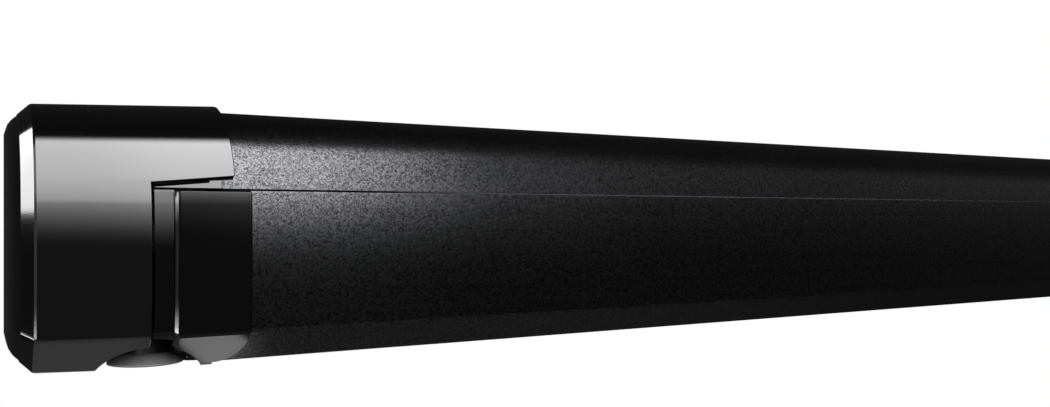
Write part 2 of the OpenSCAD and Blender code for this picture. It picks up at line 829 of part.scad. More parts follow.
// Worm wheel, cut on the slant to suit the threads of the worm
module worm_wheel() {
    slant = worm_lead / (2 * PI * worm_r);
    turn = wheel_w * slant / wheel_r * 180 / PI;
    color(brass) difference() {
        translate([-gear_x - wheel_w / 2, -roller_d, roller_z]) rotate([90, 0, 90])
            linear_extrude(wheel_w, twist = -turn, slices = 4)
                rotate(180 - 180 / wheel_teeth - turn / 2)
                    polygon(gear_outline(wheel_teeth, wheel_r, tooth_add, tooth_ded));
        along_x(-gear_x - wheel_w, -gear_x + wheel_w) translate(roller_c) circle(drive_shaft_r + run_gap);
    }
}

// Worm on its upright shaft
module worm_shaft() {
    turn = 360 * worm_len / worm_lead;
    shaft_z = bell_z + bell_h - hub_top;
    color(steel) {
        translate([-gear_x, worm_y, roller_z - worm_len / 2])
            linear_extrude(worm_len, twist = -turn, slices = 36)
            rotate(90 - turn / 2) polygon(gear_outline(worm_starts, worm_r, tooth_add, tooth_ded));
        translate([-gear_x, worm_y, shaft_z]) cylinder(r = worm_shaft_r, h = shaft_top_z - shaft_z);
    }
}

// Half profile of the domed skirt of the crank bell, drawn in by an inset
module skirt_profile(inset) {
    rise = skirt_h - skirt_rim;
    dome_r = (pow(bell_r, 2) + pow(rise, 2)) / (2 * rise);
    intersection() {
        translate([0, skirt_h - dome_r]) circle(dome_r - inset, $fn = 96);
        translate([0, inset == 0 ? 0 : -cut]) square([bell_r - inset, skirt_h]);
    }
}

// Bell that guides the crank hook to its eye: a wide domed skirt below a hollow hub
module crank_bell() {
    rim = 2.4;
    color(plastic) translate([-gear_x, worm_y, bell_z]) difference() {
        union() {
            cylinder(r = hub_r, h = bell_h, $fn = 72);
            rotate_extrude($fn = 72) skirt_profile(0);
        }
        rotate_extrude($fn = 72) skirt_profile(rim);
        translate([0, 0, -cut]) cylinder(r = hub_r - rim, h = bell_h - hub_top + cut);
        cylinder(r = worm_shaft_r + run_gap, h = bell_h + cut);
    }
}

// Ring below the worm shaft that takes the hook of the crank, flat where it meets the shaft
module crank_eye() {
    ring_r = eye_r + 2 * eye_bar_r;
    flat = 0.6;
    color(steel) translate([-gear_x, worm_y, bell_z + bell_h - hub_top]) difference() {
        translate([0, 0, flat - ring_r]) rotate([90, 0, 0]) rotate_extrude()
            translate([eye_r + eye_bar_r, 0])
            circle(eye_bar_r);
        translate([-bell_r, -bell_r, 0]) cube([2 * bell_r, 2 * bell_r, bell_h]);
    }
}

// Cloth between the roll and the lead rail, with the bead of its hem
module canopy() {
    dir = unit(groove_c - run_start);
    side = [-dir[1], dir[0]] * cloth_t / 2;
    from = run_start + cloth_t * dir;
    color(cloth) union() {
        along_x(-cloth_w / 2, cloth_w / 2)
            polygon([from + side, groove_c + side, groove_c - side, from - side]);
        along_x(-cloth_w / 2, cloth_w / 2) translate(groove_c) circle(bead_r);
    }
}

module rail_bar() along_x(-rail_x, rail_x) children();

// Cuts along the lead rail: the leg channel, the cloth groove with its mouth and the screw ports
module rail_cuts() {
    mouth = [for (a = [-34, 14]) groove_c + 14 * [cos(a), sin(a)]];
    along_x(-rail_x - cut, rail_x + cut) field(channel_front_y, channel_back_y, -big, channel_top_z);
    along_x(-rail_x - cut, rail_x + cut) translate(groove_c) circle(groove_r);
    along_x(-rail_x - cut, rail_x + cut) polygon([groove_c, mouth[0], mouth[1]]);
    port_bores(rail_ports(), rail_x);
}

// Lead rail: front skin, closed front chamber, cloth groove and a leg channel open downwards
module lead_rail() {
    roof_z = channel_top_z + wall;
    color(coat) difference() {
        union() {
            intersection() {
                rail_bar() case_section(0);
                union() {
                    rail_bar() difference() {
                        field(-big, channel_front_y, -big, rail_top_z);
                        case_section(-wall);
                    }
                    rail_bar() field(-big, channel_front_y, channel_top_z, roof_z);
                    rail_bar() field(channel_front_y - wall, channel_front_y, z_bot, roof_z);
                    rail_bar() field(-big, -case_d + shelf_w + wall, rail_top_z - wall, rail_top_z);
                    rail_bar() translate(groove_c) circle(groove_r + groove_wall);
                    rail_bar()
                        field(groove_c[0] - wall / 2, groove_c[0] + wall / 2, groove_c[1], rail_top_z);
                    rail_bar() field(-big, groove_c[0], groove_c[1] - wall / 2, groove_c[1] + wall / 2);
                    port_bars(rail_ports(), rail_x);
                }
            }
            rail_bar() field(channel_front_y - wall, -rail_back_d, channel_top_z, roof_z);
            rail_bar() field(channel_back_y, -rail_back_d, z_bot + wall, roof_z);
        }
        rail_cuts();
        for (s = [-1, 1]) wrist_bolt_places(s) cylinder(r = bolt_r + run_gap, h = 4 * wall, center = true);
        for (s = [-1, 1]) translate([s * leg_pivot_x, channel_front_y - wall - cut, leg_z(s)])
            rotate([-90, 0, 0]) cylinder(r = leg_pin_r + run_gap, h = channel_w + 2 * wall + 2 * cut);
    }
}

// Rings of a rail cap: a low flange, a rounded step and a raised band
band_step = rail_cap_sink + rail_cap_proud;
band_rings = concat(
    [[rail_cap_x, -rail_cap_sink]],
    [for (a = [0, 30, 60, 90]) [band_out_x - band_step * (1 - cos(a)), band_step * sin(a) - rail_cap_sink]],
    [[band_in_x + band_edge, rail_cap_proud], [band_in_x, rail_cap_proud - band_edge]]
);

// How far the raised band stands out at a level to make its front flatter
function band_lift(z) = band_flat * pow(max(0, z - front_bulge_z) / (rail_top_z - front_bulge_z), 2);

module band_body() {
    n = len(section(0));
    points = [for (r = band_rings) for (p = section(r[1]))
        [-r[0], p[0] - band_lift(p[1]) * (r[1] + rail_cap_sink) / band_step, p[1]]];
    polyhedron(points, loft_faces(len(band_rings), n));
}

// Front shell at an end of the lead rail, with a plug plate that is screwed to the rail
module rail_cap() {
    shell_in = wall + 1.4 + rail_cap_sink;
    plug_root = rail_plug_t / 2;
    difference() {
        union() {
            difference() {
                intersection() {
                    band_body();
                    along_x(-rail_cap_x, -band_in_x)
                        field(-big, channel_front_y - wall, -big, rail_top_z - rail_cap_drop);
                }
                along_x(-rail_cap_x - cut, -rail_plug_x) case_section(-shell_in);
                along_x(-rail_plug_x + plug_root, -band_in_x + cut) case_section(seat_gap);
            }
            along_x(-rail_plug_x, -rail_x) intersection() {
                case_section(0);
                field(-big, channel_front_y, -big, rail_top_z - rail_cap_drop);
            }
            along_x(-rail_plug_x, -rail_x)
                field(channel_front_y, -rail_back_d, z_bot + wall, channel_top_z + wall);
        }
        along_x(-rail_plug_x - cut, -rail_x + cut)
            field(-case_d + shelf_w + wall, 0, channel_top_z + wall, big);
        for (p = rail_ports()) translate([-rail_plug_x, p[0], p[1]]) screw_hole(rail_plug_t);
        band_corner();
    }
}

// Round corner at the lower inner end of the raised band, seen from the front
module band_corner() {
    r = bevel_h - bevel_round / 2;
    rotate([90, 0, 0]) translate([0, 0, channel_w]) linear_extrude(big) difference() {
        translate([-band_in_x - r, z_bot - 2 * rail_cap_proud]) square([r + cut, r + 2 * rail_cap_proud]);
        translate([-band_in_x - r, z_bot + r]) circle(r);
    }
}

module left_rail_cap() {
    color(plastic) difference() {
        rail_cap();
        arch_cut();
    }
}

module right_rail_cap() color(plastic) mirror([1, 0, 0]) rail_cap();

module rail_cap_screws() {
    color(steel) for (s = [0, 1]) mirror([s, 0, 0]) for (p = rail_ports())
        translate([-rail_plug_x, p[0], p[1]]) screw_x(rail_plug_t + 14);
}

wrist_w = 48;
wrist_half_h = 18;
wrist_bolt_x = 18;

// Places of the two bolts of a wrist bracket, pointing into the lead rail
module wrist_bolt_places(side) {
    mirrored(side) for (x = [-wrist_bolt_x, wrist_bolt_x])
        translate([-shoulder_x + x, -rail_back_d, wrist_c[1]]) rotate([90, 0, 0]) children();
}

// Countersunk bolt that lies flush in the base of a wrist bracket, widened by a clearance
module wrist_bolt(gap) {
    sink = 2.2;
    translate([0, 0, -bracket_base_t]) cylinder(r1 = bolt_r + sink + gap, r2 = bolt_r + gap, h = sink);
    translate([0, 0, -bracket_base_t]) cylinder(r = bolt_r + gap, h = bracket_base_t + wall);
}

module wrist_bolts() color(steel) for (s = [-1, 1]) wrist_bolt_places(s) wrist_bolt(0);

module wrist_bracket(side) {
    color(cast) difference() {
        union() {
            mirrored(side) translate([-shoulder_x - wrist_w / 2, -rail_back_d, wrist_c[1] - wrist_half_h])
                cube([wrist_w, bracket_base_t, 2 * wrist_half_h]);
            intersection() {
                mirrored(side) arm_plane() for (z = [-ear_z - ear_t, ear_z])
                    translate([0, 0, z]) linear_extrude(ear_t) {
                    translate(wrist_p) circle(ear_r);
                    translate([wrist_p[0] - ear_r, wrist_p[1] - 24]) square([2 * ear_r, 24]);
                }
                translate([-big * 10, -rail_back_d, -big / 2]) cube([big * 20, big, big]);
            }
        }
        mirrored(side) arm_plane() translate([wrist_p[0], wrist_p[1], -big / 2])
            cylinder(r = arm_pin_r + run_gap, h = big);
        wrist_bolt_places(side) wrist_bolt(run_gap);
    }
}

// Legs: the left one lies in the upper lane, the right one in the lower lane
function leg_z(side) = side < 0 ? lane_high_z : lane_low_z;

module leg_lane(side) mirrored(side) translate([0, leg_y, leg_z(side)]) children();

// Tube or bar along a leg between two distances from the middle
module leg_bar(x0, x1) translate([-x0, 0, 0]) rotate([90, 0, 90]) linear_extrude(x0 - x1) children();

module leg_pins() {
    color(steel) for (s = [-1, 1]) leg_lane(s)
        translate([-leg_pivot_x, -channel_w / 2 - wall, 0]) rotate([-90, 0, 0])
        cylinder(r = leg_pin_r, h = channel_w + 2 * wall);
}

module leg_tube(side) {
    color(alloy) leg_lane(side) leg_bar(leg_start_x, leg_end_x) difference() {
        soft_rect(leg_w, leg_h, leg_round);
        soft_rect(leg_w - 2 * leg_wall, leg_h - 2 * leg_wall, leg_round - leg_wall);
    }
}

module leg_head(side) {
    w = leg_w - 2 * leg_wall - 2 * seat_gap;
    h = leg_h - 2 * leg_wall - 2 * seat_gap;
    color(plastic) leg_lane(side) difference() {
        union() {
            translate([-leg_pivot_x, -leg_w / 2, 0]) rotate([-90, 0, 0]) cylinder(r = leg_h / 2, h = leg_w);
            leg_bar(leg_pivot_x, leg_start_x) square([leg_w, leg_h], center = true);
            leg_bar(leg_start_x, leg_start_x - head_plug_len) soft_rect(w, h, leg_round - leg_wall);
        }
        translate([-leg_pivot_x, -leg_w, 0]) rotate([-90, 0, 0])
            cylinder(r = leg_pin_r + run_gap, h = 2 * leg_w);
    }
}

module leg_collar(side) {
    color(plastic) leg_lane(side) difference() {
        leg_bar(leg_end_x + collar_lap, collar_x) soft_rect(collar_w, collar_h, leg_round + 1);
        leg_bar(leg_end_x + collar_lap + cut, leg_end_x)
            soft_rect(leg_w + 0.2, leg_h + 0.2, leg_round + 0.1);
        leg_bar(leg_end_x + cut, collar_x - cut)
            soft_rect(inner_w + 2 * leg_gap, inner_h + 2 * leg_gap, leg_round - leg_wall);
        translate([-button_x, 0, -collar_h]) cylinder(r = button_r + 0.15, h = collar_h);
    }
}

module leg_button(side) {
    z = -collar_h / 2 - button_proud;
    color("#7a1f1f") leg_lane(side) translate([-button_x, 0, z])
        cylinder(r = button_r, h = button_proud + 1.2);
}

module leg_inner(side) {
    color(alloy) leg_lane(side) leg_bar(inner_start_x, inner_end_x) difference() {
        soft_rect(inner_w, inner_h, leg_round - leg_wall - leg_gap);
        soft_rect(inner_w - 2 * leg_wall, inner_h - 2 * leg_wall, leg_round - 2 * leg_wall - leg_gap);
    }
}

module leg_foot(side) {
    color(rubber) leg_lane(side) difference() {
        leg_bar(foot_x, foot_x - foot_len) soft_rect(leg_w, leg_h, leg_round);
        leg_bar(foot_x + cut, inner_end_x)
            soft_rect(inner_w + 0.1, inner_h + 0.1, leg_round - leg_wall - leg_gap);
    }
}

housing();
left_end_cap();
right_end_cap();
left_end_plate();
right_end_plate();
end_plate_screws();
gearbox_case();
idle_bush();
seam_seal();
shoulder_bracket(-1);  // left_shoulder_bracket
shoulder_bracket(1);  // right_shoulder_bracket
shoulder_pins();
shoulder_bolts();
roller_tube();
cloth_roll();
drive_plug();
worm_wheel();
idle_plug();
worm_shaft();
crank_bell();
crank_eye();
canopy();
upper_arm(-1);  // left_upper_arm
shoulder_eye(-1);  // left_shoulder_eye
elbow_fork(-1);  // left_elbow_fork
elbow_pin(-1);  // left_elbow_pin
arm_spring(-1);  // left_arm_spring
forearm(-1);  // left_forearm
elbow_eye(-1);  // left_elbow_eye
wrist_eye(-1);  // left_wrist_eye
upper_arm(1);  // right_upper_arm
shoulder_eye(1);  // right_shoulder_eye
elbow_fork(1);  // right_elbow_fork
elbow_pin(1);  // right_elbow_pin
arm_spring(1);  // right_arm_spring
forearm(1);  // right_forearm
elbow_eye(1);  // right_elbow_eye
wrist_eye(1);  // right_wrist_eye
lead_rail();
left_rail_cap();
right_rail_cap();
rail_cap_screws();
wrist_bracket(-1);  // left_wrist_bracket
wrist_bracket(1);  // right_wrist_bracket
wrist_pins();
wrist_bolts();
leg_pins();
leg_tube(-1);  // left_leg_tube
leg_head(-1);  // left_leg_head
leg_collar(-1);  // left_leg_collar
leg_button(-1);  // left_leg_button
leg_inner(-1);  // left_leg_inner
leg_foot(-1);  // left_foot
leg_tube(1);  // right_leg_tube
leg_head(1);  // right_leg_head
leg_collar(1);  // right_leg_collar
leg_button(1);  // right_leg_button
leg_inner(1);  // right_leg_inner
leg_foot(1);  // right_foot
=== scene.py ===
"""Looks of a closed roll-out awning: coats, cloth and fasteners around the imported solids."""

import json
import logging
import math
from contextlib import contextmanager
from dataclasses import dataclass
from enum import Enum
from typing import Any, Callable, Iterable, Iterator, Optional, Sequence, Union

import bmesh
import bpy
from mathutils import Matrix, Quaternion, Vector


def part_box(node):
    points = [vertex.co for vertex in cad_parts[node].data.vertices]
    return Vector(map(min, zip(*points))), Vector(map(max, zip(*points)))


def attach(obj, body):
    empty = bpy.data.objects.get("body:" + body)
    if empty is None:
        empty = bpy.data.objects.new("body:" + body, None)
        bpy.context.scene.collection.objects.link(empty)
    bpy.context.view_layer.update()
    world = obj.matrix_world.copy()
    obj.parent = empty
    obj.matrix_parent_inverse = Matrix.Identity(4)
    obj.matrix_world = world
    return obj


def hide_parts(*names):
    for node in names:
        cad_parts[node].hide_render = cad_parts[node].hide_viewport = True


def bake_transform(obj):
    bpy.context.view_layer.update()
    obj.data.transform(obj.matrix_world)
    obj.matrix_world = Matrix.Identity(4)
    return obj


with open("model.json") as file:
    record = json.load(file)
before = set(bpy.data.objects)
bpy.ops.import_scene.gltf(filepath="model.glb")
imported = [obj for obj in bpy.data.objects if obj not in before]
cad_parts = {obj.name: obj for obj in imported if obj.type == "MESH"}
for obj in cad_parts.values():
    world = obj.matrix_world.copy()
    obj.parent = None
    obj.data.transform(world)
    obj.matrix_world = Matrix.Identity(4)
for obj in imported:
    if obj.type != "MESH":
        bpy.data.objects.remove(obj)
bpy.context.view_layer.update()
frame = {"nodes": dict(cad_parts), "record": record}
LOG = logging.getLogger("awning")

MM = 0.001
FACING = 0.9
"""Share of a normal along an axis from which its face counts as facing that way."""

Colour = tuple[float, float, float]
Point = tuple[float, float, float]
Span = tuple[float, float]
Marks = tuple[float, float, float, float]


class Side(Enum):
    """End of the awning that a piece belongs to."""

    LEFT = "left"
    RIGHT = "right"

    @property
    def inward(self) -> float:
        """Sign of X towards the middle of the awning."""
        return 1.0 if self is Side.LEFT else -1.0


class Value:
    """A socket that carries a number; arithmetic on it adds Math nodes."""

    def __init__(self, tree: bpy.types.NodeTree, socket: bpy.types.NodeSocket) -> None:
        """Wraps a socket of a tree."""
        self.tree = tree
        self.socket = socket

    def _math(self, operation: str, *terms: Union["Value", float]) -> "Value":
        """Adds a Math node.

        Args:
            operation: The node's operation.
            terms: Its inputs in order.

        Returns:
            The result.
        """
        node = self.tree.nodes.new("ShaderNodeMath")
        node.operation = operation
        for slot, term in zip(node.inputs, terms):
            if isinstance(term, Value):
                self.tree.links.new(term.socket, slot)
            else:
                slot.default_value = term
        return Value(self.tree, node.outputs[0])

    def __add__(self, other: Union["Value", float]) -> "Value":
        """Sum."""
        return self._math("ADD", self, other)

    __radd__ = __add__

    def __mul__(self, other: Union["Value", float]) -> "Value":
        """Product."""
        return self._math("MULTIPLY", self, other)

    __rmul__ = __mul__

    def __sub__(self, other: Union["Value", float]) -> "Value":
        """Difference."""
        return self._math("SUBTRACT", self, other)

    def __rsub__(self, other: float) -> "Value":
        """Difference from a number."""
        return self._math("SUBTRACT", other, self)

    def __truediv__(self, other: Union["Value", float]) -> "Value":
        """Quotient."""
        return self._math("DIVIDE", self, other)

    def above(self, floor: float) -> "Value":
        """The value, or a number where the value is below it."""
        return self._math("MAXIMUM", self, floor)

    def rise(self, start: float, end: float) -> "Value":
        """Smooth step.

        Args:
            start: Value at which the step is nought.
            end: Value at which it is one; it may be the lower of the two.

        Returns:
            The step.
        """
        node = self.tree.nodes.new("ShaderNodeMapRange")
        node.interpolation_type = "SMOOTHSTEP"
        self.tree.links.new(self.socket, node.inputs[0])
        node.inputs[1].default_value = start
        node.inputs[2].default_value = end
        return Value(self.tree, node.outputs[0])

    def within(self, marks: Marks) -> "Value":
        """One between the two inner marks, and nought beyond the outer ones."""
        return self.rise(marks[0], marks[1]) * self.rise(marks[3], marks[2])

    def spread(self, low: float, high: float) -> "Value":
        """Number between two others, of which the value is the share."""
        return self * (high - low) + low

    def wave(self) -> "Value":
        """Sine of the value."""
        return self._math("SINE", self)

    def clamped(self) -> "Value":
        """The value held between nought and one."""
        held = self._math("ADD", self, 0.0)
        held.socket.node.use_clamp = True
        return held


Term = Union[Value, bpy.types.NodeSocket, float, Sequence[float]]


class Graph:
    """Node tree that is filled from an empty one."""

    def __init__(self, tree: bpy.types.NodeTree) -> None:
        """Empties the tree."""
        self.tree = tree
        tree.nodes.clear()

    def node(
        self, kind: str, sockets: Optional[dict[Any, Term]] = None, settings: Optional[dict[str, Any]] = None
    ) -> bpy.types.Node:
        """Adds a node.

        Args:
            kind: The node's type.
            sockets: Values or links, by the name or number of the input.
            settings: Properties, set before the sockets; "stops" fills a ramp of greys.

        Returns:
            The node.
        """
        node = self.tree.nodes.new(kind)
        for key, setting in (settings or {}).items():
            if key == "stops":
                elements = node.color_ramp.elements
                while len(elements) < len(setting):
                    elements.new(0.5)
                for element, (position, level) in zip(elements, setting):
                    element.position = position
                    element.color = (level, level, level, 1.0)
            else:
                setattr(node, key, setting)
        for key, term in (sockets or {}).items():
            slot = node.inputs[key]
            if isinstance(term, Value):
                self.tree.links.new(term.socket, slot)
            elif isinstance(term, bpy.types.NodeSocket):
                self.tree.links.new(term, slot)
            else:
                slot.default_value = term
        return node

    def value(self, node: bpy.types.Node, output: Union[int, str] = 0) -> Value:
        """Output of a node as a number."""
        return Value(self.tree, node.outputs[output])


class Shader(Graph):
    """Node tree of one material or of the world."""

    def place(self, scale: Point = (1.0, 1.0, 1.0)) -> bpy.types.NodeSocket:
        """Object coordinates, scaled along each axis."""
        coords = self.node("ShaderNodeTexCoord").outputs["Object"]
        return self.node("ShaderNodeMapping", {"Vector": coords, "Scale": scale}).outputs[0]

    def cells(self, scale: float) -> Value:
        """Cells of random brightness, so many per metre."""
        sockets = {"Vector": self.place(), "Scale": scale}
        return self.value(self.node("ShaderNodeTexVoronoi", sockets), "Color")

    def noise(self, scale: float, detail: float = 2.0, place: Optional[bpy.types.NodeSocket] = None) -> Value:
        """Soft noise between nought and one.

        Args:
            scale: Grains per metre.
            detail: Octaves.
            place: Vector to read, or object coordinates.

        Returns:
            The noise.
        """
        sockets = {"Vector": place or self.place(), "Scale": scale, "Detail": detail}
        return self.value(self.node("ShaderNodeTexNoise", sockets))

    def tint(self, share: Value, low: Colour, high: Colour) -> bpy.types.NodeSocket:
        """Colour between two shades.

        Args:
            share: Nought for the low shade, one for the high one.
            low: First shade.
            high: Second shade.

        Returns:
            The mixed colour.
        """
        sockets = {0: share, 6: (*low, 1.0), 7: (*high, 1.0)}
        return self.node("ShaderNodeMix", sockets, {"data_type": "RGBA"}).outputs[2]

    def bump(self, height: Value, depth: float, strength: float) -> bpy.types.NodeSocket:
        """Normal from a height.

        Args:
            height: Height between nought and one.
            depth: Height of one, in metres.
            strength: Share of the effect.

        Returns:
            The normal.
        """
        sockets = {"Strength": strength, "Distance": depth, "Height": height}
        return self.node("ShaderNodeBump", sockets).outputs[0]

    def surface(self, sockets: dict[str, Term]) -> None:
        """Ends the tree in a principled surface with these sockets."""
        skin = self.node("ShaderNodeBsdfPrincipled", sockets)
        self.node("ShaderNodeOutputMaterial", {"Surface": skin.outputs[0]})


@dataclass(frozen=True)
class Finish:
    """A finish of the awning, kept as one material."""

    slot: str
    colour: Colour
    roughness: float
    use: str = "general"

    def material(self) -> bpy.types.Material:
        """The finish's material, made at its first use."""
        name = f"{self.slot}_{self.use}"
        found = bpy.data.materials.get(name)
        if found:
            return found
        made = bpy.data.materials.new(name)
        made.use_nodes = True
        self.paint(Shader(made.node_tree))
        return made

    def paint(self, shader: Shader) -> None:
        """Fills the material's tree."""
        raise NotImplementedError

    def shade(self, factor: float) -> Colour:
        """The colour made lighter or darker by a factor."""
        return tuple(min(1.0, c * factor) for c in self.colour)

    def worn(self, pattern: Value, less: float, more: float) -> Value:
        """Roughness, less by one amount where a pattern is nought and more by another where it is one."""
        return pattern.spread(self.roughness - less, self.roughness + more).clamped()


@dataclass(frozen=True)
class GrainedCoat(Finish):
    """Metallic powder coat with a fine grain, whose flakes differ in brightness."""

    flake: Colour = (0.148, 0.148, 0.157)
    grain: float = 1900.0
    mottle: float = 800.0
    mottle_share: float = 0.35
    cloud: float = 14.0
    ripple: float = 1500.0
    ripple_depth: float = 0.10 * MM

    def paint(self, shader: Shader) -> None:
        """Fine and broad flakes, over a faint ripple in height."""
        broad = shader.cells(self.mottle) * self.mottle_share
        speck = shader.cells(self.grain) * (1.0 - self.mottle_share) + broad
        shader.surface(
            {
                "Base Color": shader.tint(speck.rise(0.0, 0.9), self.colour, self.flake),
                "Metallic": speck.rise(0.0, 0.2),
                "Roughness": self.worn(shader.noise(self.cloud, 2.0), 0.03, 0.03),
                "Specular IOR Level": 1.0,
                "Normal": shader.bump(shader.noise(self.ripple, 1.5), self.ripple_depth, 0.12),
            }
        )


@dataclass(frozen=True)
class SatinPlastic(Finish):
    """Moulded plastic with a satin skin."""

    cloud: float = 9.0
    pore: float = 1400.0
    coat: float = 0.35
    gloss: float = 1.0

    def paint(self, shader: Shader) -> None:
        """Fine pores, and broad cloudiness of the gloss."""
        pores = shader.noise(self.pore, 2.0)
        cloud = shader.noise(self.cloud, 3.0)
        shader.surface(
            {
                "Base Color": shader.tint(cloud, self.shade(0.8), self.shade(1.2)),
                "Roughness": self.worn(cloud, 0.03, 0.03),
                "Specular IOR Level": self.gloss,
                "Coat Weight": self.coat,
                "Coat Roughness": 0.05,
                "Normal": shader.bump(pores, 0.03 * MM, 0.25),
            }
        )


@dataclass(frozen=True)
class BellPlastic(Finish):
    """Black plastic of the crank bell; its skirt below the hub is painted grey, as painted light that stands
    in for the light the skirt catches below the end cap.
    """

    shoulder: float = -58.6 * MM
    fade: float = 1.2 * MM
    scuff: float = 900.0

    def paint(self, shader: Shader) -> None:
        """Painted light: grey below the shoulder, black above it, with scuffs."""
        height = shader.value(shader.node("ShaderNodeSeparateXYZ", {0: shader.place()}), 2)
        scuff = shader.noise(self.scuff, 3.0)
        # Painted light: the skirt below the shoulder is made grey to stand in for the light it catches, and
        # the plastic above stays black.
        painted_light = height.rise(self.shoulder, self.shoulder - self.fade) * scuff.spread(0.75, 1.25)
        shader.surface(
            {
                "Base Color": shader.tint(painted_light.clamped(), self.shade(0.01), self.colour),
                "Roughness": self.worn(scuff, 0.05, 0.05),
                "Normal": shader.bump(scuff, 0.04 * MM, 0.3),
            }
        )


@dataclass(frozen=True)
class Grain:
    """Noise on a metal: its grains per metre, its octaves and its stretch along each axis."""

    scale: float
    detail: float = 3.0
    stretch: Point = (1.0, 1.0, 1.0)

    def on(self, shader: Shader) -> Value:
        """The noise, in a material's tree."""
        return shader.noise(self.scale, self.detail, shader.place(self.stretch))


@dataclass(frozen=True)
class Metal(Finish):
    """Bare or plated metal; its marks change its colour and gloss, and its relief its height."""

    marks: Grain = Grain(160.0)
    shades: Span = (0.85, 1.12)
    wear: float = 0.08
    relief: Grain = Grain(900.0, 2.0)
    depth: float = 0.015 * MM
    strength: float = 0.25

    def paint(self, shader: Shader) -> None:
        """Marks in colour and gloss, relief in height."""
        marks = self.marks.on(shader)
        dark, light = (self.shade(factor) for factor in self.shades)
        shader.surface(
            {
                "Base Color": shader.tint(marks, dark, light),
                "Metallic": 1.0,
                "Roughness": self.worn(marks, self.wear, self.wear),
                "Normal": shader.bump(self.relief.on(shader), self.depth, self.strength),
            }
        )


@dataclass(frozen=True)
class MattRubber(Finish):
    """Rubber with a dull, dusty skin."""

    dust: float = 70.0
    pore: float = 1100.0

    def paint(self, shader: Shader) -> None:
        """Dust in colour, fine pores in height."""
        dust = shader.noise(self.dust, 4.0)
        shader.surface(
            {
                "Base Color": shader.tint(dust, self.shade(0.8), self.shade(1.6)),
                "Roughness": self.worn(dust, 0.1, 0.06),
                "Specular IOR Level": 0.35,
                "Normal": shader.bump(shader.noise(self.pore, 2.0), 0.05 * MM, 0.3),
            }
        )


@dataclass(frozen=True)
class WovenCloth(Finish):
    """Coated awning cloth; its weave follows the cloth's own map."""

    thread: float = 0.9 * MM
    slub: float = 60.0
    slub_share: float = 0.4

    def paint(self, shader: Shader) -> None:
        """Warp and weft on the map, which is in metres, under a thin coat."""
        flat = shader.node("ShaderNodeUVMap", settings={"uv_map": "cut"}).outputs[0]
        axes = shader.node("ShaderNodeSeparateXYZ", {0: flat})
        turns = math.tau / self.thread / 2
        warp = (shader.value(axes, 0) * turns).wave()
        weft = (shader.value(axes, 1) * turns).wave()
        over = (warp * weft) * 0.5 + 0.5
        slub = shader.noise(self.slub, 3.0, flat)
        mixed = over * (1.0 - self.slub_share) + slub * self.slub_share
        shader.surface(
            {
                "Base Color": shader.tint(mixed.clamped(), self.shade(0.72), self.shade(1.25)),
                "Roughness": self.worn(over, 0.1, 0.1),
                "Sheen Weight": 0.2,
                "Normal": shader.bump(over, 0.12 * MM, 0.5),
            }
        )


DRAWN_LINES = Grain(900.0, 2.0, (0.012, 1.0, 1.0))
TURNING_MARKS = Grain(1500.0, 1.0, (1.0, 0.05, 0.05))

COAT = GrainedCoat("coated_alloy", (0.0016, 0.0016, 0.0021), 0.21)
PLASTIC = SatinPlastic("black_plastic", (0.0006, 0.0006, 0.0008), 0.08, coat=0.8)
SHELL = SatinPlastic("black_plastic", (0.0005, 0.0005, 0.0007), 0.07, "rail_shell", coat=0.0, gloss=0.75)
# The grey here is painted light on the bell's skirt; the bell's own plastic is black.
BELL = BellPlastic("black_plastic", (0.24, 0.24, 0.245), 0.45, "bell")
PAINT = SatinPlastic("painted_cast", (0.0010, 0.0010, 0.0012), 0.18, coat=0.4)
CAST = Metal(
    "cast_alloy",
    (0.42, 0.43, 0.44),
    0.42,
    marks=Grain(24.0),
    shades=(0.8, 1.15),
    relief=Grain(420.0),
    depth=0.08 * MM,
    strength=0.35,
)
DRAWN = Metal(
    "bare_alloy",
    (0.66, 0.67, 0.69),
    0.30,
    marks=DRAWN_LINES,
    shades=(0.88, 1.06),
    wear=0.07,
    relief=DRAWN_LINES,
    depth=0.02 * MM,
    strength=0.3,
)
STEEL = Metal("steel", (0.55, 0.56, 0.57), 0.30)
SOCKET = Metal("steel", (0.03, 0.03, 0.03), 0.55, "socket")
CLOTH = WovenCloth("awning_cloth", (0.26, 0.28, 0.30), 0.75)
THREAD = MattRubber("awning_cloth", (0.30, 0.31, 0.33), 0.7, "thread")
RUBBER = MattRubber("rubber", (0.018, 0.018, 0.018), 0.75)
BRONZE = Metal(
    "bronze",
    (0.55, 0.37, 0.16),
    0.30,
    marks=TURNING_MARKS,
    shades=(0.8, 1.15),
    wear=0.06,
    relief=TURNING_MARKS,
    depth=0.02 * MM,
    strength=0.3,
)
BUTTON = SatinPlastic("button_plastic", (0.34, 0.03, 0.022), 0.38, pore=1200.0, coat=0.1)


